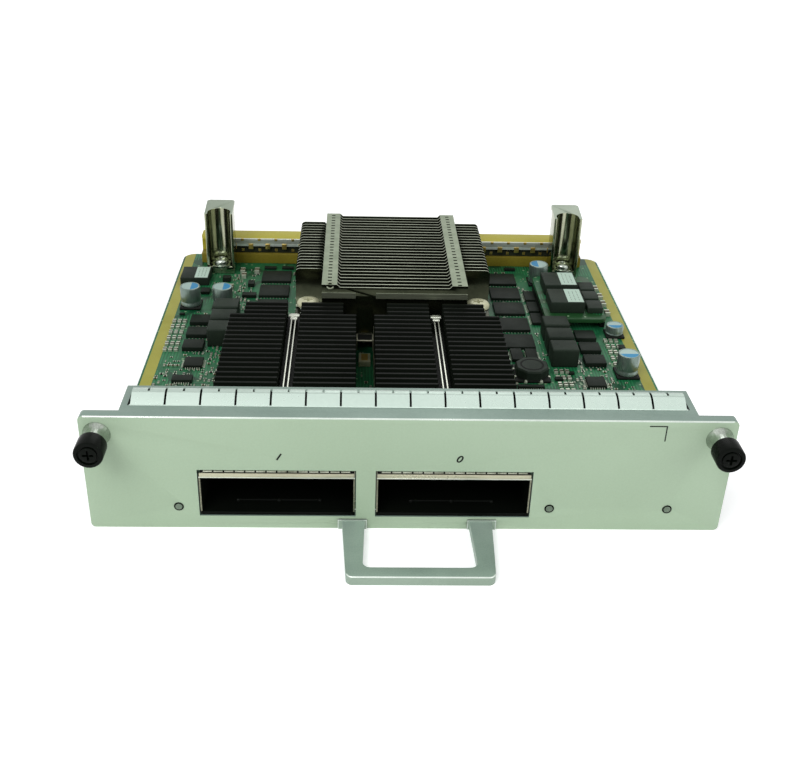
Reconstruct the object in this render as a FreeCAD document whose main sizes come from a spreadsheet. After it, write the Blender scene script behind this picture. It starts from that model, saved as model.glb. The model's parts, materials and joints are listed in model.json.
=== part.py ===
import FreeCAD, Part
import math
import os
import re

import Sketcher
from FreeCAD import Placement, Rotation, Vector

# Plug-in line card: a front panel with two wide module ports, a circuit board behind it and a
# connector beam at the rear. X runs along the panel, Y into the card and Z up. The origin is the
# centre of the footprint. Heights are measured from the panel's foot, depths from the panel's
# front face. All sizes are millimetres.
SIZES = {
    # front panel and its top flange
    "panel_width": 180.0,
    "panel_height": 36.8,
    "panel_thickness": 3.3,
    "panel_corner": 1.4,
    "flange_width": 159.0,
    "flange_reach": 16.9,
    "flange_thickness": 2.0,
    "flange_recess": 0.4,
    "lug_inset": 7.0,
    "lug_width": 8.0,
    "lug_height": 6.0,
    "lug_depth": 9.0,
    "lug_bolt_setback": 6.0,
    # spring finger strip on the flange
    "strip_width": 154.4,
    "strip_front": 5.8,
    "strip_depth": 9.0,
    "strip_rise": 2.5,
    "strip_sheet": 0.25,
    "strip_fingers": 16,
    "strip_slit": 0.6,
    "strip_notch": 2.7,
    "strip_hem": 0.5,
    "strip_bends": 6,
    "strip_lean": 1.25,
    "strip_fullness": 0.8,
    # the small gap between pieces that are pressed or dropped into one another
    "fit_gap": 0.05,
    # module ports
    "port_clearance": 0.3,
    "port_foot": 4.15,
    "port_first": -37.0,
    # port cages
    "cage_width": 43.6,
    "cage_height": 12.5,
    "cage_wall": 0.4,
    "cage_front": 0.5,
    "cage_length": 95.0,
    "cage_gap": 6.1,
    "gasket_depth": 5.0,
    "gasket_height": 2.45,
    "gasket_sheet": 0.25,
    "gasket_pitch": 2.95,
    "gasket_slit": 0.35,
    "gasket_lip": 1.0,
    "gasket_crown": 2.25,
    "gasket_hem": 0.6,
    "socket_width": 37.0,
    "socket_height": 8.4,
    "socket_depth": 9.0,
    "socket_slot": 1.8,
    "socket_slot_depth": 6.0,
    "tie_depth": 5.5,
    "tie_sheet": 0.5,
    "tie_leg": 4.0,
    # heat sinks that ride on the cages
    "rider_front": 32.0,
    "rider_height": 8.6,
    "rider_base": 2.6,
    "rider_pitch": 3.18,
    "rider_fin": 1.1,
    "rider_grooves": 20,
    "rider_notch": 4.6,
    "rider_channel": 4.8,
    "pedestal_drop": 1.2,
    "window_margin": 6.0,
    "clip_width": 2.6,
    "clip_head": 4.2,
    "clip_sheet": 0.5,
    "clip_height": 3.4,
    "clip_inset": 4.0,
    "clip_slot": 0.8,
    "clip_slot_front": 3.4,
    "clip_slot_rear": 10.2,
    "clip_foot": 1.5,
    # pull handle
    "handle_offset": 2.7,
    "handle_width": 41.4,
    "handle_reach": 25.0,
    "handle_bar": 4.1,
    "handle_arm": 5.6,
    "handle_thickness": 2.8,
    "handle_corner": 2.2,
    "handle_pad": 8.8,
    "handle_bolt": 0.8,
    "handle_grip": 8.0,
    "handle_bolt_head": 1.2,
    "handle_head_height": 1.2,
    "pad_thickness": 1.2,
    "pad_height": 3.3,
    # captive thumb screws
    "screw_inset": 4.7,
    "screw_height": 31.2,
    "knob_radius": 4.0,
    "knob_front": 10.8,
    "knob_length": 5.6,
    "knob_web": 1.6,
    "knob_bore": 3.3,
    "knob_edge": 0.4,
    "recess_radius": 2.6,
    "recess_depth": 0.9,
    "cross_width": 0.9,
    "shaft_radius": 1.5,
    "shaft_neck": 1.2,
    "shaft_tail": 5.4,
    "shaft_tip": 0.4,
    "sleeve_radius": 3.0,
    "sleeve_bore": 2.55,
    "sleeve_front": 5.6,
    "sleeve_floor": 1.0,
    "collar_radius": 4.3,
    "collar_thickness": 1.0,
    "ring_radius": 2.7,
    "ring_thickness": 0.6,
    "ring_gap": 0.3,
    "spring_radius": 2.1,
    "spring_wire": 0.28,
    "spring_turns": 5,
    # status lamps
    "lamp_height": 7.3,
    "lamp_radius": 1.2,
    "lamp_left_gap": 5.7,
    "lamp_middle_gap": 5.5,
    "lamp_right_inset": 15.8,
    "lamp_pipe": 12.5,
    "lamp_proud": 0.4,
    "lamp_block": 2.2,
    # main board
    "board_inset": 0.0,
    "board_tail": 94.1,
    "board_gap": 2.7,
    "board_foot": 2.4,
    "board_thickness": 2.4,
    "board_corner": 5.0,
    "bolt_radius": 1.5,
    "bolt_head": 2.6,
    "bolt_head_height": 1.6,
    "bolt_grip": 5.0,
    # stacked fin heat sink over the processor
    "stack_x": -1.6,
    "stack_gap": 4.9,
    "stack_top": 31.0,
    "stack_half": 36.6,
    "core_half": 26.0,
    "band_width": 5.5,
    "band_step": 1.0,
    "shoulder_top": 27.3,
    "shoulder_corner": 1.6,
    "shoulder_facets": 3,
    "fin_sheet": 0.4,
    "fin_pitch": 2.84,
    "fin_count": 26,
    "shoulder_count": 18,
    "hook_width": 1.4,
    "hook_depth": 0.9,
    "lip_height": 1.9,
    "lip_depth": 0.8,
    "lip_drop": 3.0,
    "lip_gap_left": -13.9,
    "lip_gap_right": -6.7,
    "base_thickness": 3.4,
    "chip_width": 38.0,
    "chip_height": 2.6,
    "lid_width": 32.0,
    "lid_height": 1.4,
    "stack_bolt_x": 31.2,
    "stack_bolt_setback": 9.6,
    "stack_bolt_head": 4.25,
    "stack_bolt_top": 20.8,
    "stack_bolt_dome": 2.2,
    "stack_spring": 2.7,
    "stack_spring_wire": 0.4,
    "stack_spring_turns": 3,
    "spring_links": 10,
    "spring_sides": 5,
    "plate_thickness": 1.6,
    "plate_margin": 3.0,
    # connector beam along the rear edge
    "beam_depth": 9.6,
    "beam_width": 163.0,
    "beam_top": 16.0,
    "beam_sheet": 1.2,
    "beam_sill": 4.4,
    "beam_channel": 4.0,
    "beam_corner": 3.0,
    "plug_count": 8,
    "plug_pitch": 19.4,
    "plug_gap": 0.4,
    "slot_height": 2.2,
    "slot_margin": 1.6,
    "slot_depth": 3.4,
    "rail_height": 3.4,
    "rail_depth": 0.8,
    "lug_pitch": 7.1,
    "contact_count": 22,
    "contact_width": 2.0,
    "contact_length": 2.4,
    "contact_sheet": 0.4,
    "block_height": 2.6,
    "block_depth": 2.6,
    # alignment guides
    "guide_inset": 18.0,
    "guide_setback": 21.2,
    "guide_half": 5.7,
    "guide_depth": 8.4,
    "guide_top": 33.0,
    "guide_foot": 3.2,
    "trough_radius": 4.6,
    "trough_depth": 7.0,
    "hood_thickness": 1.6,
    "hood_reach": 12.4,
    "washer_radius": 4.2,
    "washer_thickness": 0.8,
    "guide_bolt_setback": 2.4,
    "guide_bolt_head": 2.9,
    "guide_head_height": 2.2,
    "nut_flats": 5.5,
    # what stands on the board; its depths here are measured from the cages' rear ends
    # capacitors, by their radius and height above the board
    "can_radius": 3.9,
    "can_height": 8.7,
    "can_low_radius": 3.3,
    "can_low_height": 4.5,
    "can_foot": 1.0,
    "can_edge": 0.4,
    "can_left_x": -80.2,
    "can_inner_x": -67.7,
    "can_left_y": 41.2,
    "can_rear_x": 60.5,
    "can_rear_y": 67.7,
    "can_edge_x": 81.1,
    "can_low_x": 83.0,
    "can_low_y": 19.8,
    "can_near_y": -11.3,
    # power parts
    "coil_width": 9.6,
    "coil_length": 8.2,
    "coil_height": 7.1,
    "coil_count": 3,
    "coil_left_x": -64.9,
    "coil_left_y": 10.5,
    "coil_left_pitch": 9.7,
    "coil_right_x": 59.8,
    "coil_right_y": -2.5,
    "coil_right_pitch": 10.1,
    "stage_width": 7.6,
    "stage_length": 6.8,
    "stage_height": 1.7,
    "stage_left_x": -74.6,
    "stage_left_y": 6.1,
    "stage_left_pitch": 10.4,
    "stage_right_x": 71.3,
    "stage_right_y": -2.7,
    "stage_right_pitch": 9.9,
    "drum_x": 46.9,
    "drum_y": -12.2,
    "drum_radius": 6.2,
    "drum_height": 4.2,
    "drum_core": 4.4,
    "brick_width": 11.6,
    "brick_length": 11.8,
    "brick_height": 3.4,
    "brick_x": -81.5,
    "brick_y": 66.4,
    # raised power board
    "riser_x": 69.0,
    "riser_width": 23.5,
    "riser_front": 23.5,
    "riser_length": 40.0,
    "riser_thickness": 1.6,
    "riser_lift": 3.2,
    "riser_corner": 3.0,
    "riser_rail": 1.8,
    "module_width": 13.2,
    "module_length": 12.8,
    "module_height": 4.6,
    "module_x": 66.2,
    "module_front": 28.5,
    "module_step": 16.2,
    "part_width": 6.0,
    "part_length": 7.2,
    "part_height": 2.4,
    "part_pitch": 8.7,
    "part_x": 77.0,
    # memory and other chips
    "memory_width": 12.0,
    "memory_length": 10.6,
    "memory_height": 1.2,
    "memory_reach": 46.9,
    "memory_first": 12.1,
    "memory_pitch": 14.2,
    "memory_count": 5,
    "logic_width": 4.2,
    "logic_length": 8.6,
    "logic_height": 1.3,
    "logic_x": 55.0,
    "logic_first": 31.5,
    "logic_pitch": 10.4,
    "quad_size": 6.6,
    "quad_left_x": -72.8,
    "quad_left_y": -6.9,
    "quad_right_x": 68.8,
    "quad_right_y": -18.5,
    "pair_x": 43.5,
    "pair_y": 1.3,
    "pair_pitch": 5.4,
    # small two-ended parts in rows
    "bead_width": 1.2,
    "bead_length": 2.2,
    "bead_height": 0.9,
    "bead_rows": 6,
    "bead_pitch": 4.6,
    "bead_step": 2.0,
    "bead_left_x": -84.6,
    "bead_left_y": 3.5,
    "bead_right_x": 78.6,
    "bead_right_y": -4.5,
    "bead_near_x": 56.0,
    "bead_near_y": -33.5,
    "bead_far_x": -70.0,
    "bead_far_y": -51.5,
    "flex_y": -7.5,
    "flex_width": 4.2,
    "flex_length": 6.4,
    "flex_height": 2.2,
}

# Places that follow from the sizes, so that what lines up moves together.
FOLLOWS = {
    "port_width": "cage_width + 2 * port_clearance",
    "port_pitch": "cage_width + cage_gap",
    "port_height": "board_foot + board_thickness + cage_height + gasket_height - port_foot",
    "cage_back": "cage_front + cage_length",
    "board_end": "cage_back + board_tail",
    "board_half": "panel_width / 2 - board_inset",
    "stack_front": "cage_back + stack_gap",
    "stack_bolt_y": "stack_front + stack_bolt_setback",
    "beam_front": "board_end - beam_depth",
    "guide_front": "board_end - guide_setback",
    "guide_x": "board_half - guide_inset",
    "lamp_left": "port_first - port_width / 2 - lamp_left_gap",
    "lamp_middle": "port_first + port_pitch + port_width / 2 + lamp_middle_gap",
    "lamp_right": "panel_width / 2 - lamp_right_inset",
}

doc = FreeCAD.newDocument("line_card")
sheet = doc.addObject("Spreadsheet::Sheet", "Sizes")
for row, (name, number) in enumerate(SIZES.items(), start=1):
    sheet.set("A%d" % row, name)
    sheet.set("B%d" % row, str(number))
    sheet.setAlias("B%d" % row, name)
doc.recompute()

# The same depths as numbers, for the shapes that are computed.
cage_rear = sheet.cage_front + sheet.cage_length
board_rear = cage_rear + sheet.board_tail
stack_start = cage_rear + sheet.stack_gap
cage_pitch = sheet.cage_width + sheet.cage_gap

# Heights and depths that several pieces share, written once from the cells.
front_y = "((handle_reach - board_end) / 2)"
board_top = "(board_foot + board_thickness)"
board_start = "(panel_thickness + board_gap)"
cage_top = "(%s + cage_height)" % board_top
rider_floor = "(%s + rider_base)" % cage_top
rider_length = "(rider_grooves * rider_pitch + rider_fin)"
chip_top = "(%s + chip_height)" % board_top
lid_top = "(%s + lid_height)" % chip_top
base_top = "(%s + base_thickness)" % lid_top
stack_length = "((fin_count - 1) * fin_pitch + fin_sheet)"
riser_floor = "(%s + riser_lift)" % board_top
riser_top = "(%s + riser_thickness)" % riser_floor
guide_bolt_y = "(guide_front + guide_bolt_setback)"
foot_top = "(%s + guide_foot)" % board_top
sill_top = "(%s + beam_sill)" % board_top
handle_root = "((handle_width - handle_arm) / 2)"
lug_bolt_y = "(panel_thickness + lug_bolt_setback)"
stack_back = "(stack_front + %s)" % stack_length
chip_y = "(stack_front + (fin_count - shoulder_count / 2) * fin_pitch)"
rear_bolt_y = "(%s - fin_pitch * 3)" % stack_back
plate_foot = "(board_foot - plate_thickness)"
handle_bolt_z = "(pad_height / 2)"

nodes = []


def bound(text):
    # Puts the sheet's name in front of every alias, and the formula in place of what follows from them.
    def full_name(word):
        name = word.group()
        if name in FOLLOWS:
            return "(%s)" % bound(FOLLOWS[name])
        return "Sizes." + name if name in SIZES else name
    return re.sub(r"[a-z][a-z0-9_]*", full_name, text)


def tie(thing, prop, text):
    thing.setExpression(prop, bound(text))


def place(thing, x="0", y="0", z="0"):
    tie(thing, "Placement.Base.x", x)
    tie(thing, "Placement.Base.y", front_y + " + " + y)
    tie(thing, "Placement.Base.z", z)


def turn(thing, axis, degrees):
    thing.Placement = Placement(Vector(), Rotation(axis, degrees))


def keep(thing, label):
    thing.Label = label
    nodes.append(thing)
    return thing


def box(name, width, depth, height, x, y, z):
    # A block whose x is its middle, y its front and z its foot.
    block = doc.addObject("Part::Box", name)
    tie(block, "Length", width)
    tie(block, "Width", depth)
    tie(block, "Height", height)
    place(block, "%s - (%s) / 2" % (x, width), y, z)
    return block


def post(name, radius, height, x, y, z):
    # An upright cylinder.
    rod = doc.addObject("Part::Cylinder", name)
    tie(rod, "Radius", radius)
    tie(rod, "Height", height)
    place(rod, x, y, z)
    return rod


def bar(name, radius, length, x, y, z):
    # A cylinder along Y that starts at y.
    rod = doc.addObject("Part::Cylinder", name)
    turn(rod, Vector(1, 0, 0), -90)
    tie(rod, "Radius", radius)
    tie(rod, "Height", length)
    place(rod, x, y, z)
    return rod


def cut(name, base, *tools):
    tool = tools[0] if len(tools) == 1 else group(name + "_tools", *tools)
    result = doc.addObject("Part::Cut", name)
    result.Base = base
    result.Tool = tool
    return result


def fuse(name, *pieces):
    result = doc.addObject("Part::MultiFuse", name)
    result.Shapes = list(pieces)
    result.Refine = True
    return result


def group(name, *pieces):
    result = doc.addObject("Part::Compound", name)
    result.Links = list(pieces)
    return result


def body(name, x="0", y="0", z="0"):
    made = doc.addObject("PartDesign::Body", name)
    place(made, x, y, z)
    return made


def origin_feature(owner, role):
    return next(item for item in owner.Origin.OriginFeatures if item.Role == role)


def sketch_on(owner, role, lift="0"):
    # A sketch on one of the body's own planes, lifted along that plane's normal.
    drawing = owner.newObject("Sketcher::SketchObject", owner.Name + "_sketch")
    drawing.AttachmentSupport = (origin_feature(owner, role), [""])
    drawing.MapMode = "FlatFace"
    tie(drawing, "AttachmentOffset.Base.z", lift)
    return drawing


def pin_down(drawing, index, point, x, y):
    # Ties one point of the sketch to two expressions, measured from the sketch's origin.
    for kind, text in (("DistanceX", x), ("DistanceY", y)):
        number = drawing.addConstraint(Sketcher.Constraint(kind, -1, 1, index, point, 1.0))
        tie(drawing, "Constraints[%d]" % number, text)


def outline(drawing, corners):
    # A closed polygon, each corner given as two expressions.
    first = drawing.GeometryCount
    count = len(corners)
    for step in range(count):
        angle = 2 * math.pi * step / count
        following = 2 * math.pi * (step + 1) / count
        start = Vector(10 * math.cos(angle), 10 * math.sin(angle), 0)
        finish = Vector(10 * math.cos(following), 10 * math.sin(following), 0)
        drawing.addGeometry(Part.LineSegment(start, finish), False)
    for step in range(count):
        after = first + (step + 1) % count
        drawing.addConstraint(Sketcher.Constraint("Coincident", first + step, 2, after, 1))
    for step, (x, y) in enumerate(corners):
        pin_down(drawing, first + step, 1, x, y)


def rectangle(drawing, left, low, right, high):
    outline(drawing, [(left, low), (right, low), (right, high), (left, high)])


def circle(drawing, x, y, radius):
    index = drawing.GeometryCount
    drawing.addGeometry(Part.Circle(Vector(1, 1, 0), Vector(0, 0, 1), 1), False)
    number = drawing.addConstraint(Sketcher.Constraint("Radius", index, 1.0))
    tie(drawing, "Constraints[%d]" % number, radius)
    pin_down(drawing, index, 3, x, y)


def pad(owner, drawing, length, away=False):
    feature = owner.newObject("PartDesign::Pad", owner.Name + "_pad")
    feature.Profile = drawing
    tie(feature, "Length", length)
    feature.Reversed = away
    return feature


def pocket(owner, drawing, length, away=False):
    feature = owner.newObject("PartDesign::Pocket", owner.Name + "_pocket")
    feature.Profile = drawing
    tie(feature, "Length", length)
    feature.Reversed = away
    return feature


def revolve(owner, drawing):
    # Turns a sketch drawn on the YZ plane around the card's depth.
    feature = owner.newObject("PartDesign::Revolution", owner.Name + "_turned")
    feature.Profile = drawing
    feature.ReferenceAxis = (drawing, ["H_Axis"])
    feature.Angle = 360
    return feature


def repeat(owner, feature, role, spacing, count):
    pattern = owner.newObject("PartDesign::LinearPattern", owner.Name + "_pattern")
    pattern.Originals = [feature]
    pattern.Direction = (origin_feature(owner, role), [""])
    tie(pattern, "Length", "%s * (%s - 1)" % (spacing, count))
    tie(pattern, "Occurrences", count)
    owner.Tip = pattern
    return pattern


def round_edges(owner, wanted, radius):
    # Rounds the edges of the body's last feature that the wanted test picks.
    doc.recompute()
    base = owner.Tip
    picked = ["Edge%d" % (step + 1) for step, edge in enumerate(base.Shape.Edges) if wanted(edge)]
    feature = owner.newObject("PartDesign::Fillet", owner.Name + "_round")
    feature.Base = (base, picked)
    tie(feature, "Radius", radius)
    return feature


def runs_along(edge, axis):
    # True for a straight edge parallel to an axis.
    if len(edge.Vertexes) < 2 or not isinstance(edge.Curve, Part.Line):
        return False
    way = edge.Vertexes[1].Point - edge.Vertexes[0].Point
    return abs(abs(way.normalize().dot(axis)) - 1) < 1e-6


def feature_part(label, shape):
    # A sub-part whose shape is computed here, placed like the others.
    thing = doc.addObject("Part::Feature", label)
    thing.Shape = Part.makeCompound([shape])
    place(thing)
    return keep(thing, label)


def ribbon(points, thickness):
    # The outline of a bent sheet: a path in Y and Z given a thickness on its left side.
    near = [Vector(0, y, z) for y, z in points]
    sides = []
    for start, finish in zip(near, near[1:]):
        way = (finish - start).normalize()
        sides.append(Vector(0, -way.z, way.y))
    sides = [sides[0]] + sides + [sides[-1]]
    far = []
    for point, before, after in zip(near, sides, sides[1:]):
        middle = (before + after).normalize()
        far.append(point + middle * (thickness / middle.dot(after)))
    return Part.Face(Part.makePolygon(near + far[::-1] + near[:1]))


def coil_spring(radius, wire, rise, turns):
    # A coil spring around Z, its wire drawn as short flat-sided links.
    links = int(turns * sheet.spring_links)
    sides = int(sheet.spring_sides)
    rings = []
    for link in range(links + 1):
        share = link / links
        angle = 2 * math.pi * turns * share
        out = Vector(math.cos(angle), math.sin(angle), 0)
        middle = out * radius + Vector(0, 0, rise * share)
        ring = []
        for side in range(sides):
            roll = 2 * math.pi * side / sides
            ring.append(middle + out * (wire * math.cos(roll)) + Vector(0, 0, wire * math.sin(roll)))
        rings.append(ring)
    loops = [rings[0], rings[-1]]
    for near, far in zip(rings, rings[1:]):
        for side in range(sides):
            after = (side + 1) % sides
            loops.append([near[side], near[after], far[after]])
            loops.append([near[side], far[after], far[side]])
    shell = Part.Shell([Part.Face(Part.makePolygon(loop + loop[:1])) for loop in loops])
    shell.sewShape()
    return Part.Solid(shell)


def make_panel():
    panel = body("panel")
    plate = sketch_on(panel, "XZ_Plane")
    rectangle(plate, "-panel_width / 2", "0", "panel_width / 2", "panel_height")
    pad(panel, plate, "panel_thickness", away=True)
    along_y = Vector(0, 1, 0)
    round_edges(panel, lambda edge: runs_along(edge, along_y), "panel_corner")
    flange = sketch_on(panel, "XY_Plane", "panel_height - flange_thickness")
    side = "flange_width / 2"
    rectangle(flange, "-" + side, "panel_thickness / 2", side, "flange_reach")
    pad(panel, flange, "flange_thickness")
    lugs = sketch_on(panel, "XY_Plane", board_top)
    for sign in ("-", ""):
        middle = "%s(panel_width / 2 - lug_inset)" % sign
        left = middle + " - lug_width / 2"
        rectangle(lugs, left, "panel_thickness / 2", left + " + lug_width",
                  "panel_thickness + lug_depth")
    pad(panel, lugs, "lug_height")
    recess = sketch_on(panel, "XY_Plane", "panel_height")
    half = "(strip_width / 2 + fit_gap)"
    rectangle(recess, "-" + half, "strip_front - fit_gap", half, "strip_front + strip_depth + fit_gap")
    pocket(panel, recess, "flange_recess")
    ports = sketch_on(panel, "XZ_Plane")
    for step in range(2):
        left = "port_first + %d * port_pitch - port_width / 2" % step
        rectangle(ports, left, "port_foot", left + " + port_width", "port_foot + port_height")
    pocket(panel, ports, "panel_thickness")
    holes = sketch_on(panel, "XZ_Plane")
    for x in ("lamp_left", "lamp_middle", "lamp_right"):
        circle(holes, x, "lamp_height", "lamp_radius + fit_gap")
    for sign in ("-", ""):
        circle(holes, "%s(panel_width / 2 - screw_inset)" % sign, "screw_height", "sleeve_radius + fit_gap")
        bolt_x = "handle_offset %s %s" % (sign or "+", handle_root)
        circle(holes, bolt_x, handle_bolt_z, "handle_bolt")
    pocket(panel, holes, "panel_thickness")
    seats = sketch_on(panel, "XZ_Plane", "-panel_thickness")
    for sign in ("-", "+"):
        bolt_x = "handle_offset %s %s" % (sign, handle_root)
        circle(seats, bolt_x, handle_bolt_z, "handle_bolt_head + fit_gap")
    pocket(panel, seats, "handle_head_height", away=True)
    threads = sketch_on(panel, "XY_Plane", board_top)
    for sign in ("-", ""):
        circle(threads, "%s(panel_width / 2 - lug_inset)" % sign, lug_bolt_y, "bolt_radius + fit_gap")
    pocket(panel, threads, "bolt_grip", away=True)
    keep(panel, "front_panel")


def make_finger_strip():
    # A spring strip: one bent sheet whose slits leave a row of fingers.
    steps = int(sheet.strip_bends)
    floor = sheet.panel_height - sheet.flange_recess
    near = sheet.strip_front
    span = sheet.strip_depth
    path = []
    for step in range(steps + 1):
        share = step / steps
        lift = abs(math.sin(math.pi * share ** sheet.strip_lean)) ** sheet.strip_fullness
        path.append((near + span * share, floor + sheet.strip_rise * lift))
    width = sheet.strip_width
    strip = ribbon(path, -sheet.strip_sheet).extrude(Vector(width, 0, 0))
    strip.translate(Vector(-width / 2, 0, sheet.strip_sheet))
    pitch = width / sheet.strip_fingers
    slits = []
    for step in range(1, int(2 * sheet.strip_fingers)):
        whole = step % 2 == 0
        length = span if whole else sheet.strip_notch
        start = near + sheet.strip_hem if whole else near + span - length
        x = -width / 2 + step * pitch / 2 - sheet.strip_slit / 2
        slits.append(Part.makeBox(sheet.strip_slit, length, 2 * sheet.strip_rise,
                                  Vector(x, start, floor - sheet.strip_sheet)))
    feature_part("emi_finger_strip", strip.cut(Part.makeCompound(slits)))


def make_handle():
    handle = body("handle", "handle_offset")
    outer = "handle_width / 2"
    inner = "(handle_width / 2 - handle_arm)"
    loop = sketch_on(handle, "XY_Plane")
    bar_back = "-(handle_reach - handle_bar)"
    outline(loop, [("-" + outer, "-pad_thickness / 2"), ("-" + outer, "-handle_reach"),
                   (outer, "-handle_reach"), (outer, "-pad_thickness / 2"),
                   (inner, "-pad_thickness / 2"), (inner, bar_back),
                   ("-" + inner, bar_back), ("-" + inner, "-pad_thickness / 2")])
    pad(handle, loop, "handle_thickness")
    upright = Vector(0, 0, 1)

    def at_front(edge):
        return runs_along(edge, upright) and edge.CenterOfMass.y < -sheet.handle_bar
    round_edges(handle, at_front, "handle_corner")
    pads = sketch_on(handle, "XZ_Plane")
    for sign in ("-", "+"):
        left = "0 %s %s - handle_pad / 2" % (sign, handle_root)
        rectangle(pads, left, "0", left + " + handle_pad", "pad_height")
    pad(handle, pads, "pad_thickness")
    threads = sketch_on(handle, "XZ_Plane")
    for sign in ("-", "+"):
        circle(threads, "0 %s %s" % (sign, handle_root), handle_bolt_z, "handle_bolt")
    pocket(handle, threads, "handle_grip", away=True)
    keep(handle, "pull_handle")
    bolts = []
    for step, sign in enumerate(("-", "+")):
        x = "handle_offset %s %s" % (sign, handle_root)
        head = bar("handle_bolt_head%d" % step, "handle_bolt_head", "handle_head_height", x,
                   "panel_thickness - handle_head_height", handle_bolt_z)
        shank = bar("handle_bolt_shank%d" % step, "handle_bolt - fit_gap",
                    "panel_thickness + handle_grip - fit_gap - handle_head_height / 2", x,
                    "-handle_grip + fit_gap", handle_bolt_z)
        bolts.append(fuse("handle_bolt%d" % step, head, shank))
    keep(group("handle_bolts", *bolts), "handle_screws")


def turned_piece(name, side, profile):
    # A turned piece on one thumb screw's axis; the profile is depth and radius pairs.
    piece = body(name, "%s(panel_width / 2 - screw_inset)" % side, "0", "screw_height")
    drawing = sketch_on(piece, "YZ_Plane")
    outline(drawing, profile)
    revolve(piece, drawing)
    return piece


def make_thumb_screw(side, name):
    knob_back = "-(knob_front - knob_length)"
    cavity = "-(knob_front - knob_web)"
    knob = turned_piece(name + "_knob_body", side, [
        ("-knob_front", "0"), ("-knob_front", "knob_radius - knob_edge"),
        ("-knob_front + knob_edge", "knob_radius"), (knob_back, "knob_radius"),
        (knob_back, "knob_bore"), (cavity, "knob_bore"), (cavity, "0")])
    slot = sketch_on(knob, "XZ_Plane", "knob_front")
    half = "cross_width / 2"
    arm = "recess_radius"
    outline(slot, [(arm, half), (half, half), (half, arm), ("-" + half, arm), ("-" + half, half),
                   ("-" + arm, half), ("-" + arm, "-" + half), ("-" + half, "-" + half),
                   ("-" + half, "-" + arm), (half, "-" + arm), (half, "-" + half), (arm, "-" + half)])
    pocket(knob, slot, "recess_depth")
    keep(knob, name + "_thumb_knob")
    tail = "(panel_thickness + shaft_tail)"
    back = "(panel_thickness + ring_gap)"
    rear = "(%s + ring_thickness)" % back
    thread = rear + " + ring_gap"
    shaft = turned_piece(name + "_shaft", side, [
        (cavity, "0"), (cavity, "shaft_neck"), (thread, "shaft_neck"), (thread, "shaft_radius"),
        (tail + " - shaft_tip", "shaft_radius"), (tail, "shaft_radius - shaft_tip"), (tail, "0")])
    keep(shaft, name + "_screw_shaft")
    seat = "(panel_thickness - sleeve_floor)"
    ferrule = turned_piece(name + "_ferrule", side, [
        ("-sleeve_front", "sleeve_bore"), ("-sleeve_front", "sleeve_radius"),
        ("-collar_thickness", "sleeve_radius"), ("-collar_thickness", "collar_radius"),
        ("0", "collar_radius"), ("0", "sleeve_radius"), ("panel_thickness", "sleeve_radius"),
        ("panel_thickness", "shaft_radius + fit_gap"), (seat, "shaft_radius + fit_gap"),
        (seat, "sleeve_bore")])
    keep(ferrule, name + "_screw_ferrule")
    bore = "shaft_neck + fit_gap / 2"
    ring = turned_piece(name + "_ring", side, [
        (back, bore), (back, "ring_radius"), (rear, "ring_radius"), (rear, bore)])
    keep(ring, name + "_retaining_ring")
    # The coil spring inside the ferrule, from the sleeve's floor to the knob's web.
    start = sheet.panel_thickness - sheet.sleeve_floor
    length = start + sheet.knob_front - sheet.knob_web
    wire = sheet.spring_wire
    spring = coil_spring(sheet.spring_radius, wire, length - 2 * wire, sheet.spring_turns)
    spring.rotate(Vector(), Vector(1, 0, 0), 90)
    x = (-1 if side == "-" else 1) * (sheet.panel_width / 2 - sheet.screw_inset)
    spring.translate(Vector(x, start - wire, sheet.screw_height))
    feature_part(name + "_screw_spring", spring)


def make_lamps():
    pipes = []
    blocks = []
    for name in ("left", "middle", "right"):
        x = "lamp_" + name
        pipes.append(bar("pipe_" + name, "lamp_radius", "lamp_pipe + lamp_proud", x, "-lamp_proud",
                         "lamp_height"))
        blocks.append(box("lamp_block_" + name, "2 * lamp_block", "lamp_block",
                          "lamp_height + lamp_radius - " + board_top, x, "lamp_pipe", board_top))
    keep(group("pipes", *pipes), "light_pipes")
    keep(group("lamp_blocks", *blocks), "status_lamps")


def make_board():
    board = body("board", z="board_foot")
    half = "board_half"
    plan = sketch_on(board, "XY_Plane")
    rectangle(plan, "-" + half, board_start, half, "board_end")
    pad(board, plan, "board_thickness")
    upright = Vector(0, 0, 1)

    def at_rear(edge):
        return runs_along(edge, upright) and edge.CenterOfMass.y > board_rear / 2
    round_edges(board, at_rear, "board_corner")
    holes = sketch_on(board, "XY_Plane", "board_thickness")
    for sign in ("-", "+"):
        circle(holes, "0 %s (panel_width / 2 - lug_inset)" % sign, lug_bolt_y, "bolt_radius + fit_gap")
        circle(holes, "0 %s guide_x" % sign, guide_bolt_y, "bolt_radius + fit_gap")
        for y in ("stack_bolt_y", rear_bolt_y):
            circle(holes, "stack_x %s stack_bolt_x" % sign, y, "bolt_radius + fit_gap")
    pocket(board, holes, "board_thickness")
    keep(board, "main_board")
    bolts = []
    for step, sign in enumerate(("-", "+")):
        x = "0 %s (panel_width / 2 - lug_inset)" % sign
        head = post("lug_bolt_head%d" % step, "bolt_head", "bolt_head_height", x, lug_bolt_y,
                    "board_foot - bolt_head_height")
        shank = post("lug_bolt_shank%d" % step, "bolt_radius",
                     "board_thickness + bolt_grip - fit_gap", x, lug_bolt_y, "board_foot")
        bolts.append(fuse("lug_bolt%d" % step, head, shank))
    keep(group("lug_bolts", *bolts), "board_screws")


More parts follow.
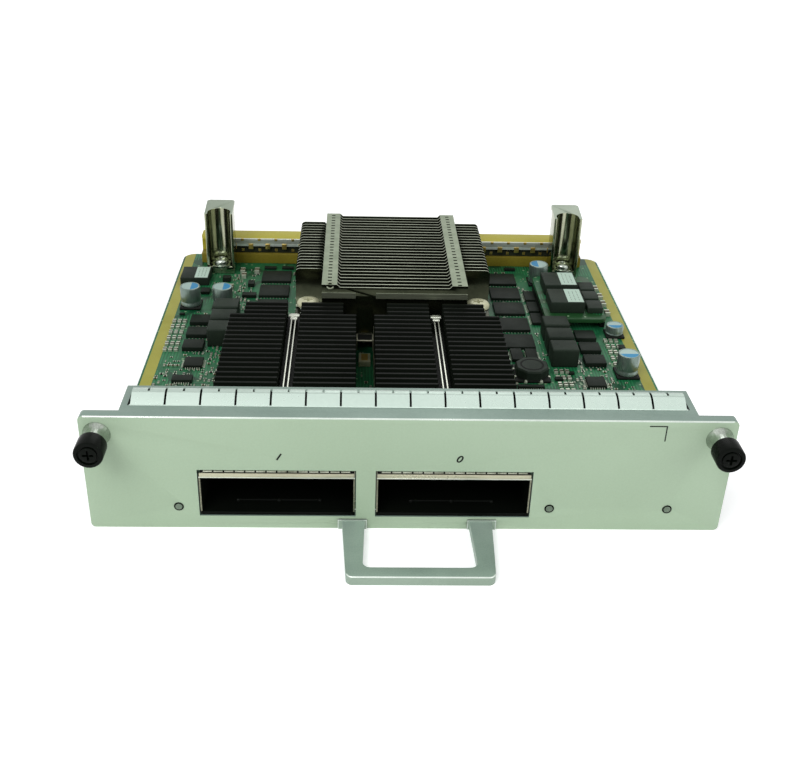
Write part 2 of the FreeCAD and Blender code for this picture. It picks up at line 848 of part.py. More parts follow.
def make_port(name, step):
    middle = "(port_first + %d * port_pitch)" % step
    inner = "cage_width - 2 * cage_wall"
    skin = box(name + "_cage_skin", "cage_width", "cage_length", "cage_height", middle, "cage_front",
               board_top)
    room = box(name + "_cage_room", inner, "cage_length", "cage_height - 2 * cage_wall", middle,
               "cage_front - cage_wall", board_top + " + cage_wall")
    window = box(name + "_cage_window", "cage_width - 2 * window_margin",
                 rider_length + " - 2 * window_margin", "3 * cage_wall", middle,
                 "rider_front + window_margin", cage_top + " - 2 * cage_wall")
    keep(cut(name + "_cage", skin, room, window), name + "_port_cage")

    # A folded gasket above the cage's mouth, slit into contact fingers.
    floor = sheet.board_foot + sheet.board_thickness + sheet.cage_height
    ceiling = floor + sheet.gasket_height - sheet.fit_gap
    halfway = (floor + ceiling) / 2
    near = sheet.cage_front
    back = near + sheet.gasket_depth
    leaf = sheet.gasket_sheet
    path = [(back, floor), (near, floor), (near, halfway), (near + sheet.gasket_lip, halfway + leaf / 2),
            (near + sheet.gasket_crown, ceiling - leaf), (back, halfway - leaf / 2)]
    width = sheet.cage_width
    x = sheet.port_first + step * cage_pitch
    shape = ribbon(path, -leaf).extrude(Vector(width, 0, 0))
    shape.translate(Vector(x - width / 2, 0, 0))
    count = int(width / sheet.gasket_pitch)
    slits = []
    for number in range(count):
        slit_x = x + (number - (count - 1) / 2) * sheet.gasket_pitch - sheet.gasket_slit / 2
        corner = Vector(slit_x, near + sheet.gasket_hem, floor + 2 * leaf)
        slits.append(Part.makeBox(sheet.gasket_slit, sheet.gasket_depth, ceiling - floor, corner))
    feature_part(name + "_port_gasket", shape.cut(Part.makeCompound(slits)))

    socket = body(name + "_socket", middle, "cage_front + cage_length - cage_wall - socket_depth",
                  board_top + " + cage_wall")
    front = sketch_on(socket, "XZ_Plane")
    rectangle(front, "-socket_width / 2", "0", "socket_width / 2", "socket_height")
    pad(socket, front, "socket_depth", away=True)
    mouth = sketch_on(socket, "XZ_Plane")
    reach = "(socket_width / 2 - socket_slot)"
    rectangle(mouth, "-" + reach, "(socket_height - socket_slot) / 2", reach,
              "(socket_height + socket_slot) / 2")
    pocket(socket, mouth, "socket_slot_depth")
    keep(socket, name + "_port_connector")

    rider = body(name + "_rider", middle, "rider_front", cage_top)
    plan = sketch_on(rider, "XY_Plane")
    half = "(cage_width / 2)"
    narrow = "(cage_width / 2 - rider_notch)"
    shoulder = "(%s - 2 * rider_notch)" % rider_length
    outline(plan, [("-" + half, "0"), (half, "0"), (half, shoulder), (narrow, shoulder),
                   (narrow, rider_length), ("-" + narrow, rider_length), ("-" + narrow, shoulder),
                   ("-" + half, shoulder)])
    pad(rider, plan, "rider_height")
    pedestal = sketch_on(rider, "XY_Plane", "-pedestal_drop")
    inset = "(window_margin + fit_gap)"
    rectangle(pedestal, "-%s + %s" % (half, inset), inset, "%s - %s" % (half, inset),
              "%s - %s" % (rider_length, inset))
    pad(rider, pedestal, "pedestal_drop + rider_base / 2")
    channel = sketch_on(rider, "XY_Plane", "rider_height")
    rectangle(channel, "-rider_channel / 2", "-rider_fin", "rider_channel / 2",
              rider_length + " + rider_fin")
    pocket(rider, channel, "rider_height - rider_base")
    groove = sketch_on(rider, "XY_Plane", "rider_height")
    rectangle(groove, "-cage_width", "rider_fin", "cage_width", "rider_pitch")
    gap = pocket(rider, groove, "rider_height - rider_base")
    repeat(rider, gap, "Y_Axis", "rider_pitch", "rider_grooves")
    keep(rider, name + "_port_heat_sink")

    # The spring clip in the heat sink's channel: two prongs, a wide head and feet on the channel's floor.
    length = sheet.rider_grooves * sheet.rider_pitch + sheet.rider_fin
    floor = sheet.board_foot + sheet.board_thickness + sheet.cage_height + sheet.rider_base
    start = sheet.rider_front + sheet.clip_inset
    finish = sheet.rider_front + length - sheet.clip_inset
    high = floor + sheet.clip_height
    leaf = sheet.clip_sheet
    path = [(start + sheet.clip_foot, floor), (start, floor), (start + leaf, high),
            (finish - leaf, high), (finish, floor), (finish - sheet.clip_foot, floor)]
    clip = ribbon(path, -leaf).extrude(Vector(sheet.clip_width, 0, 0))
    clip.translate(Vector(x - sheet.clip_width / 2, 0, 0))
    slot_start = start + sheet.clip_slot_front
    slot = Part.makeBox(sheet.clip_slot, finish - sheet.clip_slot_rear - slot_start, 3 * leaf,
                        Vector(x - sheet.clip_slot / 2, slot_start, high - 2 * leaf))
    head = Part.makeBox(sheet.clip_head, sheet.clip_head, leaf,
                        Vector(x - sheet.clip_head / 2, finish - leaf - sheet.clip_head, high - leaf))
    return clip.cut(slot).fuse(head).removeSplitter()


def make_cage_tie():
    # A small channel that bridges the gap between the two cages.
    gap = "(port_pitch - cage_width)"
    middle = "(port_first + port_pitch / 2)"
    tie_y = "(cage_length - 2 * tie_depth)"
    foot = cage_top + " - tie_leg"
    skin = box("tie_skin", gap, "tie_depth", "tie_leg", middle, tie_y, foot)
    room = box("tie_room", gap + " - 2 * tie_sheet", "3 * tie_depth", "tie_leg", middle,
               tie_y + " - tie_depth", foot + " - tie_sheet")
    keep(cut("tie", skin, room), "cage_tie")


def fin_foot():
    # The underside of the fins, on top of the base plate.
    board = sheet.board_foot + sheet.board_thickness
    return board + sheet.chip_height + sheet.lid_height + sheet.base_thickness


def fin_outline(full):
    # One fin seen from the front: tall core, raised strips at its edges, and lower rounded shoulders.
    foot = fin_foot()
    core = sheet.core_half
    top = sheet.stack_top
    inner = core - sheet.band_width
    step = sheet.band_step
    right = [(inner - step, top - step), (inner, top), (core, top)]
    if not full:
        return foot, right + [(core, foot)]
    shoulder = sheet.shoulder_top
    round_by = sheet.shoulder_corner
    half = sheet.stack_half
    right += [(core, shoulder - step), (core + step, shoulder)]
    facets = int(sheet.shoulder_facets)
    for part in range(facets + 1):
        angle = math.pi / 2 * (1 - part / facets)
        right.append((half - round_by + round_by * math.cos(angle),
                      shoulder - round_by + round_by * math.sin(angle)))
    return foot, right + [(half, foot)]


def make_fin(number):
    # One folded fin: its sheet, two hooked tabs that bridge to the next fin, and a foot on the base plate.
    full = number < sheet.shoulder_count
    foot, right = fin_outline(full)
    corners = [Vector(x, 0, z) for x, z in right]
    corners += [Vector(-x, 0, z) for x, z in reversed(right)]
    thickness = sheet.fin_sheet
    blade = Part.Face(Part.makePolygon(corners + corners[:1])).extrude(Vector(0, thickness, 0))
    reach = sheet.fin_pitch - thickness
    y = stack_start + (sheet.fin_count - 1 - number) * sheet.fin_pitch
    pieces = []
    if number == sheet.fin_count - 1:
        lip_z = sheet.stack_top - sheet.lip_drop - sheet.lip_height
        runs = ((-sheet.core_half, sheet.lip_gap_left), (sheet.lip_gap_right, sheet.core_half))
        for start, finish in runs:
            pieces.append(Part.makeBox(finish - start, sheet.lip_depth + thickness / 2,
                                       sheet.lip_height, Vector(start, -sheet.lip_depth, lip_z)))
        fin = blade.multiFuse(pieces).removeSplitter()
        fin.translate(Vector(sheet.stack_x, y, 0))
        return fin
    for side in (-1, 1):
        middle = side * (sheet.core_half - sheet.band_width / 2)
        tab = Part.makeBox(sheet.band_width, reach + thickness / 2, thickness,
                           Vector(middle - sheet.band_width / 2, -reach, sheet.stack_top - thickness))
        corner = Vector(middle - sheet.hook_width / 2, -reach, sheet.stack_top - 1.5 * thickness)
        hook = Part.makeBox(sheet.hook_width, sheet.hook_depth, 2 * thickness, corner)
        pieces.append(tab.cut(hook))
    half = sheet.stack_half if full else sheet.core_half
    pieces.append(Part.makeBox(2 * half, reach + thickness / 2, thickness, Vector(-half, -reach, foot)))
    fin = blade.multiFuse(pieces).removeSplitter()
    fin.translate(Vector(sheet.stack_x, y, 0))
    return fin


def make_fin_heat_sink():
    fins = [make_fin(number) for number in range(int(sheet.fin_count))]
    feature_part("fin_stack", Part.makeCompound(fins))
    slab = box("stack_slab", "2 * stack_half", stack_length, "base_thickness", "stack_x", "stack_front",
               lid_top)
    clear = "bolt_radius + fit_gap"
    wells = []
    for step, sign in enumerate(("-", "+")):
        x = "stack_x %s stack_bolt_x" % sign
        wells.append(post("stack_well%d" % step, clear, "base_thickness", x, "stack_bolt_y", lid_top))
        wells.append(post("rear_well%d" % step, clear, "base_thickness / 2", x, rear_bolt_y, lid_top))
    keep(cut("stack_base", slab, *wells), "fin_stack_base")
    keep(box("processor", "chip_width", "chip_width", "chip_height", "stack_x",
             chip_y + " - chip_width / 2", board_top), "main_processor")
    keep(box("lid", "lid_width", "lid_width", "lid_height", "stack_x", chip_y + " - lid_width / 2",
             chip_top), "processor_lid")

    bolts = []
    rear_bolts = []
    springs = []
    for step, sign in enumerate(("-", "+")):
        x = "stack_x %s stack_bolt_x" % sign
        head_foot = "stack_bolt_top - stack_bolt_dome"
        head = post("stack_head%d" % step, "stack_bolt_head", "stack_bolt_dome", x, "stack_bolt_y",
                    head_foot)
        shank = post("stack_shank%d" % step, "bolt_radius", "%s - %s" % (head_foot, plate_foot), x,
                     "stack_bolt_y", plate_foot)
        bolts.append(fuse("stack_bolt%d" % step, head, shank))
        reach = "%s + base_thickness / 2 - %s" % (lid_top, plate_foot)
        rear_bolts.append(post("rear_bolt%d" % step, "bolt_radius", reach, x, rear_bolt_y, plate_foot))
        springs.append(stack_spring(-1 if sign == "-" else 1))
    keep(group("stack_bolts", *bolts), "heat_sink_screws")
    keep(group("stack_rear_bolts", *rear_bolts), "heat_sink_studs")
    feature_part("heat_sink_springs", Part.makeCompound(springs))

    plate = body("plate", "stack_x", z=plate_foot)
    plan = sketch_on(plate, "XY_Plane")
    half = "(stack_bolt_x + plate_margin)"
    rectangle(plan, "-" + half, "stack_bolt_y - plate_margin", half, rear_bolt_y + " + plate_margin")
    pad(plate, plan, "plate_thickness")
    upright = Vector(0, 0, 1)
    round_edges(plate, lambda edge: runs_along(edge, upright), "plate_margin")
    holes = sketch_on(plate, "XY_Plane", "plate_thickness")
    for sign in ("-", ""):
        for y in ("stack_bolt_y", rear_bolt_y):
            circle(holes, sign + "stack_bolt_x", y, "bolt_radius + fit_gap")
    pocket(plate, holes, "plate_thickness")
    keep(plate, "backing_plate")


def stack_spring(side):
    # A coil spring around one bolt, between the base plate and the bolt's head.
    foot = fin_foot()
    wire = sheet.stack_spring_wire
    rise = sheet.stack_bolt_top - sheet.stack_bolt_dome - foot - 2 * wire
    spring = coil_spring(sheet.stack_spring, wire, rise, sheet.stack_spring_turns)
    bolt_y = stack_start + sheet.stack_bolt_setback
    spring.translate(Vector(sheet.stack_x + side * sheet.stack_bolt_x, bolt_y, foot + wire))
    return spring


def make_beam():
    beam = body("beam", "-beam_width / 2")
    section = sketch_on(beam, "YZ_Plane")
    near = "beam_front"
    top_front = "(beam_front + rail_depth)"
    wall = "(beam_front + beam_channel)"
    start = "(%s + beam_sheet)" % wall
    ledge = "(beam_top - beam_sheet)"
    outline(section, [(near, board_top), (near + " + beam_sheet", board_top),
                      (near + " + beam_sheet", sill_top + " - beam_sheet"),
                      (start, sill_top + " - beam_sheet"), (start, ledge), ("board_end", ledge),
                      ("board_end", "beam_top"), (top_front, "beam_top"),
                      (top_front, ledge), (wall, ledge), (wall, sill_top), (near, sill_top)])
    pad(beam, section, "beam_width")
    upright = Vector(0, 0, 1)
    limit = sheet.beam_top - sheet.beam_sheet
    back = board_rear - sheet.beam_depth + sheet.beam_channel

    def at_top_corner(edge):
        middle = edge.CenterOfMass
        return runs_along(edge, upright) and middle.z > limit and middle.y < back
    round_edges(beam, at_top_corner, "beam_corner")
    keep(beam, "rear_beam")

    depth = "(board_end - %s)" % start
    tall = "(%s - %s)" % (ledge, board_top)
    rooms = []
    width = "(plug_pitch - plug_gap)"
    for step in range(int(sheet.plug_count)):
        x = "(%d - (plug_count - 1) / 2) * plug_pitch" % step
        block = box("backplane_block%d" % step, width, depth, tall, x, start, board_top)
        slots = []
        for share in (1, 3):
            foot = "%s + %s * %d / 4 - slot_height / 2" % (board_top, tall, share)
            slots.append(box("backplane_slot%d_%d" % (step, share), width + " - 2 * slot_margin",
                             "slot_depth", "slot_height", x, "board_end - slot_depth", foot))
        rooms.append(cut("backplane_module%d" % step, block, *slots))
    keep(group("backplane", *rooms), "backplane_modules")

    row = "(contact_count * lug_pitch)"
    rail_foot = "(beam_top - rail_height)"
    keep(box("rail", row, "rail_depth", "rail_height", "0", near, rail_foot), "ground_rail")
    keep(box("signal", row, "block_depth", "block_height", "0", wall + " - block_depth", sill_top),
         "signal_block")
    tabs = []
    for step in range(int(sheet.contact_count)):
        x = "(%d - (contact_count - 1) / 2) * lug_pitch" % step
        tabs.append(box("contact%d" % step, "contact_width", "contact_sheet", "contact_length", x,
                        near + " - contact_sheet", rail_foot + " - contact_length / 2"))
    keep(group("contacts", *tabs), "ground_lugs")


def make_guide(side, name):
    middle = "%sguide_x" % side
    back = "(guide_front + guide_depth)"
    guide = body(name + "_guide_body", middle)
    plan = sketch_on(guide, "XY_Plane", board_top)
    rectangle(plan, "-guide_half", "guide_front", "guide_half", back)
    pad(guide, plan, "guide_top - " + board_top)
    hood = sketch_on(guide, "XY_Plane", "guide_top - hood_thickness")
    rectangle(hood, "-guide_half", "guide_front + trough_radius", "guide_half", "guide_front + hood_reach")
    pad(guide, hood, "hood_thickness")
    upright = Vector(0, 0, 1)
    limit = board_rear - sheet.guide_setback + sheet.hood_reach

    def at_back(edge):
        return runs_along(edge, upright) and abs(edge.CenterOfMass.y - limit) < sheet.fit_gap
    round_edges(guide, at_back, "hood_thickness")
    deep = "guide_top - " + foot_top
    mouth = sketch_on(guide, "XY_Plane", "guide_top")
    centre = "(guide_front + trough_depth - trough_radius)"
    rectangle(mouth, "-trough_radius", "guide_front - trough_radius", "trough_radius", centre)
    pocket(guide, mouth, deep)
    trough = sketch_on(guide, "XY_Plane", "guide_top")
    circle(trough, "0", centre, "trough_radius")
    pocket(guide, trough, deep)
    hole = sketch_on(guide, "XY_Plane", foot_top)
    circle(hole, "0", guide_bolt_y, "bolt_radius + fit_gap")
    pocket(guide, hole, "guide_foot")
    keep(guide, name + "_guide")

    clear = "bolt_radius + fit_gap"
    disc = post(name + "_washer_disc", "washer_radius", "washer_thickness", middle, guide_bolt_y, foot_top)
    bore = post(name + "_washer_bore", clear, "washer_thickness", middle, guide_bolt_y, foot_top)
    washer = cut(name + "_washer", disc, bore)
    seat = "(%s + washer_thickness)" % foot_top
    head = post(name + "_guide_head", "guide_bolt_head", "guide_head_height", middle, guide_bolt_y, seat)
    shank = post(name + "_guide_shank", "bolt_radius", seat + " - fit_gap", middle, guide_bolt_y, "fit_gap")
    bolt = fuse(name + "_guide_bolt", head, shank)
    prism = doc.addObject("Part::Prism", name + "_nut_prism")
    prism.Polygon = 6
    tie(prism, "Circumradius", "nut_flats / sqrt(3)")
    tie(prism, "Height", "board_foot")
    place(prism, middle, guide_bolt_y, "0")
    thread = post(name + "_nut_bore", clear, "board_foot", middle, guide_bolt_y, "0")
    return washer, bolt, cut(name + "_nut", prism, thread)


def make_can(name, x, y, radius, height):
    # A can capacitor: a square plastic foot and a metal can with a bevelled rim.
    y = "cage_back + " + y
    foot = box(name + "_foot", "2 * %s + can_edge" % radius, "2 * %s + can_edge" % radius, "can_foot", x,
               "%s - %s - can_edge / 2" % (y, radius), board_top)
    wall = post(name + "_wall", radius, height + " - can_foot - can_edge", x, y, board_top + " + can_foot")
    rim = doc.addObject("Part::Cone", name + "_rim")
    tie(rim, "Radius1", radius)
    tie(rim, "Radius2", radius + " - can_edge")
    tie(rim, "Height", "can_edge")
    place(rim, x, y, "%s + %s - can_edge" % (board_top, height))
    return foot, fuse(name, wall, rim)


def make_capacitors():
    cans = [make_can("can_left", "can_left_x", "can_left_y", "can_radius", "can_height"),
            make_can("can_inner", "can_inner_x", "can_left_y", "can_radius", "can_height"),
            make_can("can_rear", "can_rear_x", "can_rear_y", "can_radius", "can_height"),
            make_can("can_near", "can_edge_x", "can_near_y", "can_radius", "can_height"),
            make_can("can_low", "can_low_x", "can_low_y", "can_low_radius", "can_low_height")]
    drum_foot = box("drum_foot", "2 * drum_radius", "2 * drum_radius", "can_foot", "drum_x",
                    "cage_back + drum_y - drum_radius", board_top)
    keep(group("component_feet", *[foot for foot, can in cans], drum_foot), "component_bases")
    keep(group("cans", *[can for foot, can in cans]), "capacitors")


def chip_row(name, kind, x, first, pitch, count, z=board_top):
    # Like chips in a row along Y; kind gives the aliases of their width, length and height.
    chips = []
    for step in range(count):
        y = "cage_back + %s + %d * %s - %s_length / 2" % (first, step, pitch, kind)
        chips.append(box("%s%d" % (name, step), kind + "_width", kind + "_length", kind + "_height",
                         x, y, z))
    return chips


def make_power_parts():
    coils = int(sheet.coil_count)
    left = chip_row("coil_left", "coil", "coil_left_x", "coil_left_y", "coil_left_pitch", coils)
    right = chip_row("coil_right", "coil", "coil_right_x", "coil_right_y", "coil_right_pitch", coils)
    keep(group("coils", *left, *right), "block_inductors")
    left = chip_row("stage_left", "stage", "stage_left_x", "stage_left_y", "stage_left_pitch", coils)
    right = chip_row("stage_right", "stage", "stage_right_x", "stage_right_y", "stage_right_pitch", coils)
    keep(group("stages", *left, *right), "power_stages")
    shell = post("drum_shell", "drum_radius", "drum_height - can_foot", "drum_x", "cage_back + drum_y",
                 board_top + " + can_foot")
    groove = post("drum_groove", "drum_core", "can_edge", "drum_x", "cage_back + drum_y",
                  board_top + " + drum_height - can_edge")
    keep(cut("drum", shell, groove), "round_inductor")
    keep(box("brick", "brick_width", "brick_length", "brick_height", "brick_x",
             "cage_back + brick_y - brick_length / 2", board_top), "power_brick")


def make_riser():
    riser = body("riser", "riser_x", "cage_back + riser_front", riser_floor)
    plan = sketch_on(riser, "XY_Plane")
    rectangle(plan, "-riser_width / 2", "0", "riser_width / 2", "riser_length")
    pad(riser, plan, "riser_thickness")
    upright = Vector(0, 0, 1)
    round_edges(riser, lambda edge: runs_along(edge, upright), "riser_corner")
    keep(riser, "power_riser_board")
    rails = []
    for step, sign in enumerate(("-", "+")):
        x = "riser_x %s (riser_width - riser_rail) / 2" % sign
        rails.append(box("riser_rail%d" % step, "riser_rail", "riser_length - 2 * riser_corner",
                         "riser_lift", x, "cage_back + riser_front + riser_corner", board_top))
    keep(group("riser_rails", *rails), "riser_headers")
    modules = chip_row("power_module", "module", "module_x", "module_front + module_length / 2",
                       "module_step", 2, riser_top)
    keep(group("power_modules", *modules), "riser_power_modules")
    parts = chip_row("riser_part", "part", "part_x", "module_front + part_length / 2", "part_pitch", 3,
                     riser_top)
    keep(group("riser_parts", *parts), "riser_components")


def make_chips():
    count = int(sheet.memory_count)
    left_x = "stack_x - memory_reach"
    right_x = "stack_x + memory_reach"
    left = chip_row("memory_left", "memory", left_x, "memory_first", "memory_pitch", count)
    right = chip_row("memory_right", "memory", right_x, "memory_first", "memory_pitch", count)
    keep(group("memory", *left, *right), "memory_chips")
    logic = chip_row("logic", "logic", "logic_x", "logic_first", "logic_pitch", 3)
    logic += chip_row("pair_left", "logic", "pair_x", "pair_y", "pair_pitch", 1)
    logic += chip_row("pair_right", "logic", "pair_x + pair_pitch", "pair_y", "pair_pitch", 1)
    for name in ("quad_left", "quad_right"):
        logic.append(box(name, "quad_size", "quad_size", "logic_height", name + "_x",
                         "cage_back + %s_y - quad_size / 2" % name, board_top))
    keep(group("logic_set", *logic), "logic_chips")


def make_beads():
    beads = []
    rows = int(sheet.bead_rows)
    for name, count in (("left", rows), ("right", rows - 1), ("near", rows), ("far", rows)):
        for column in range(3):
            x = "bead_%s_x + %d * bead_step" % (name, column)
            row = "bead_%s%d_" % (name, column)
            beads += chip_row(row, "bead", x, "bead_%s_y" % name, "bead_pitch", count)
    middle = "(port_first + port_pitch / 2)"
    beads.append(box("flex_socket", "flex_width", "flex_length", "flex_height", middle,
                     "cage_back + flex_y", board_top))
    keep(group("beads", *beads), "board_passives")


make_panel()
make_finger_strip()
make_handle()
make_thumb_screw("-", "left")
make_thumb_screw("", "right")
make_lamps()
make_board()
feature_part("heat_sink_clips", Part.makeCompound([make_port("left", 0), make_port("right", 1)]))
make_cage_tie()
make_fin_heat_sink()
make_beam()
fasteners = [make_guide("-", "left"), make_guide("", "right")]
for label, pair in zip(("guide_washers", "guide_screws", "guide_nuts"), zip(*fasteners)):
    keep(group(label + "_set", *pair), label)
make_capacitors()
make_power_parts()
make_riser()
make_chips()
make_beads()
doc.recompute()

for thing in doc.Objects:
    if "Invalid" in thing.State or "Error" in thing.State:
        raise RuntimeError("%s did not recompute: %s" % (thing.Name, thing.State))
os.makedirs("parts", exist_ok=True)
for thing in nodes:
    if thing.Shape.isNull() or not thing.Shape.isValid():
        raise RuntimeError("%s has no valid shape" % thing.Label)
    thing.Shape.exportStep("parts/%s.step" % thing.Label)
    print("%-24s %3d solids %10.1f mm3" % (thing.Label, len(thing.Shape.Solids), thing.Shape.Volume))
print(len(nodes), "sub-parts")
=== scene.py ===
import json
import math
import random

import bmesh
import bpy
from mathutils import Matrix, Vector


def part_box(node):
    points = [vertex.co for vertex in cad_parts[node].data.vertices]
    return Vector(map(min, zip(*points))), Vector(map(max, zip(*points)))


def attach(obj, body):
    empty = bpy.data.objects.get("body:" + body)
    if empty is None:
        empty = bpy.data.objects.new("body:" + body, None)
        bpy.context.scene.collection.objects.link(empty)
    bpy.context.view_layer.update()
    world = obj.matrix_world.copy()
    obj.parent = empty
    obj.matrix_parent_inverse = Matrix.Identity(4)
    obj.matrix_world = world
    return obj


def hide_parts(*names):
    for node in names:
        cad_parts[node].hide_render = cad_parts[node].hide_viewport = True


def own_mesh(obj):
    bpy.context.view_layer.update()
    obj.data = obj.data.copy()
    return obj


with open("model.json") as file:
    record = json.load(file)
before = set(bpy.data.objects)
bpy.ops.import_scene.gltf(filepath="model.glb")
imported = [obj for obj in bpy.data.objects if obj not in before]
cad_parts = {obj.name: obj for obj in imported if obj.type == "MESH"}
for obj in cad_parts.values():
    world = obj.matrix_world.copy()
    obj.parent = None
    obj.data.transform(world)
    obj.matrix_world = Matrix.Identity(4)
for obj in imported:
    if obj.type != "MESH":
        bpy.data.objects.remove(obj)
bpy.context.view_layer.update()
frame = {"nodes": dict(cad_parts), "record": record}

record = frame["record"]
mm = 0.001
faceDepth = -82.3  # where the panel's front face lies along Y, in mm
weldReach = 0.000002  # vertices nearer than this, in m, are one
levelReach = 0.01  # heights nearer than this, in mm, count as level
bodyOf = {}
for body, members in record["behaviour"]["bodies"].items():
    for member in members:
        bodyOf[member] = body
slotOf = {part["node"]: part["material_slot"] for part in record["subparts"]}
print("frame loaded,", len(slotOf), "nodes")


def spot(x, y, z):
    # a place on the card in mm: across, into the card from the panel's face, and up
    return Vector((x, y + faceDepth, z)) * mm


def inward(y):
    # how far along Y a depth behind the panel's face lies
    return spot(0, y, 0).y


def sized(look, *names):
    # named sizes of a dictionary, in metres
    return [look[name] * mm for name in names]


def shade(red, green, blue):
    # an on-screen colour, 0 to 255, as the shader wants it
    made = []
    for part in (red, green, blue):
        share = part / 255
        made.append(share / 12.92 if share <= 0.04045 else ((share + 0.055) / 1.055) ** 2.4)
    return (*made, 1.0)


def addObject(name, data):
    made = bpy.data.objects.new(name, data)
    bpy.context.scene.collection.objects.link(made)
    return made


def plainMesh(thing):
    # what an object looks like with its modifiers done, as a mesh of its own
    bpy.context.view_layer.update()
    return bpy.data.meshes.new_from_object(thing.evaluated_get(bpy.context.evaluated_depsgraph_get()))


# node helpers, for shaders and for geometry

def setInputs(tree, node, inputs):
    # each input is given as a socket to link or as a plain value
    for label, value in dict(inputs).items():
        if isinstance(value, bpy.types.NodeSocket):
            tree.links.new(value, node.inputs[label])
        else:
            node.inputs[label].default_value = value


def addNode(tree, kind, inputs=(), **settings):
    node = tree.nodes.new(kind)
    for name, value in settings.items():
        setattr(node, name, value)
    setInputs(tree, node, inputs)
    return node


def calc(tree, operation, *values):
    return addNode(tree, "ShaderNodeMath", enumerate(values), operation=operation).outputs[0]


def spread(tree, value, low, high, newLow, newHigh):
    return addNode(tree, "ShaderNodeMapRange", {"Value": value, "From Min": low, "From Max": high,
                                                "To Min": newLow, "To Max": newHigh}).outputs["Result"]


def blendColour(tree, mask, first, second):
    return addNode(tree, "ShaderNodeMix", {"Factor": mask, 6: first, 7: second}, data_type="RGBA").outputs[2]


def addBump(tree, height, strength, distance):
    return addNode(tree, "ShaderNodeBump", {"Height": height, "Strength": strength,
                                            "Distance": distance * mm}).outputs[0]


# shader groups that several finishes share

def newGroup(name, inputs, outputs):
    group = bpy.data.node_groups.new(name, "ShaderNodeTree")
    for label, kind, value in inputs:
        socket = group.interface.new_socket(label, in_out="INPUT", socket_type=kind)
        socket.default_value = value
    for label in outputs:
        group.interface.new_socket(label, in_out="OUTPUT", socket_type="NodeSocketFloat")
    return group, group.nodes.new("NodeGroupInput").outputs, group.nodes.new("NodeGroupOutput")


# where the patterns' masks start, the shares in which they mix, and their scales per metre
grainLook = {"fineDetail": 2.0, "patchDetail": 4.0, "fineShare": 0.3, "patchShare": 0.7, "low": 0.32,
             "high": 0.68}
brushLook = {"detail": 3.0, "low": 0.3, "high": 0.7}
trackLook = {"patchScale": 95.0, "patchDetail": 0.5, "pourScale": 48.0, "pourDetail": 1.0, "pourStart": 0.53,
             "holeScale": 420.0, "holeScatter": 0.85, "holeReach": 0.2, "holeStart": 0.45, "lineStart": 0.55,
             "bundles": (("X", "LESS_THAN", 0.44), ("Y", "GREATER_THAN", 0.56))}


def makeSurfaceGrain(look):
    # fine grain over slow patches of tone, for paint, plastic and cast metal
    group, given, result = newGroup(
        "surfaceGrain",
        [("Position", "NodeSocketVector", (0, 0, 0)), ("Fine", "NodeSocketFloat", 2500.0),
         ("Patch", "NodeSocketFloat", 40.0)],
        ["Tone", "Height"])
    noise = []
    for label, detail in (("Fine", look["fineDetail"]), ("Patch", look["patchDetail"])):
        noise.append(addNode(group, "ShaderNodeTexNoise", {
            "Vector": given["Position"], "Scale": given[label], "Detail": detail}).outputs[0])
    fine, patch = noise
    tone = calc(group, "ADD", calc(group, "MULTIPLY", patch, look["patchShare"]),
                calc(group, "MULTIPLY", fine, look["fineShare"]))
    setInputs(group, result, {"Tone": spread(group, tone, look["low"], look["high"], 0.0, 1.0),
                              "Height": fine})
    return group


def makeBrushedLines(look):
    # long thin streaks, for drawn, rolled and plated metal
    group, given, result = newGroup(
        "brushedLines",
        [("Position", "NodeSocketVector", (0, 0, 0)), ("Along", "NodeSocketVector", (60.0, 4000.0, 4000.0))],
        ["Tone", "Height"])
    stretch = addNode(group, "ShaderNodeVectorMath", {0: given["Position"], 1: given["Along"]},
                      operation="MULTIPLY").outputs[0]
    noise = addNode(group, "ShaderNodeTexNoise", {"Vector": stretch, "Scale": 1.0, "Detail": look["detail"]})
    streak = noise.outputs[0]
    setInputs(group, result, {"Tone": spread(group, streak, look["low"], look["high"], 0.0, 1.0),
                              "Height": streak})
    return group


def makeBoardTracks(look):
    # copper tracks under solder mask in both directions, with through holes and poured areas
    group, given, result = newGroup(
        "boardTracks", [("Position", "NodeSocketVector", (0, 0, 0)), ("Pitch", "NodeSocketFloat", 900.0)],
        ["Track", "Hole", "Pour"])
    place = given["Position"]
    split = addNode(group, "ShaderNodeSeparateXYZ", {0: place})
    patch, pour = (addNode(group, "ShaderNodeTexNoise", {
        "Vector": place, "Scale": look[kind + "Scale"], "Detail": look[kind + "Detail"]}).outputs[0]
        for kind in ("patch", "pour"))
    cells = addNode(group, "ShaderNodeTexVoronoi", {"Vector": place, "Scale": look["holeScale"],
                                                    "Randomness": look["holeScatter"]})
    bundles = []
    for axis, side, limit in look["bundles"]:
        wave = calc(group, "FRACT", calc(group, "MULTIPLY", split.outputs[axis], given["Pitch"]))
        bundles.append(calc(group, "MULTIPLY", calc(group, "GREATER_THAN", wave, look["lineStart"]),
                            calc(group, side, patch, limit)))
    pick = addNode(group, "ShaderNodeSeparateXYZ", {0: cells.outputs["Color"]}).outputs["X"]
    hole = calc(group, "MULTIPLY", calc(group, "LESS_THAN", cells.outputs["Distance"], look["holeReach"]),
                calc(group, "GREATER_THAN", pick, look["holeStart"]))
    setInputs(group, result, {"Track": calc(group, "MAXIMUM", *bundles), "Hole": hole,
                              "Pour": calc(group, "GREATER_THAN", pour, look["pourStart"])})
    return group


surfaceGrain = makeSurfaceGrain(grainLook)
brushedLines = makeBrushedLines(brushLook)
boardTracks = makeBoardTracks(trackLook)


# finishes

def newMaterial(name):
    material = bpy.data.materials.new(name)
    material.use_nodes = True
    tree = material.node_tree
    return material, tree, tree.nodes["Principled BSDF"]


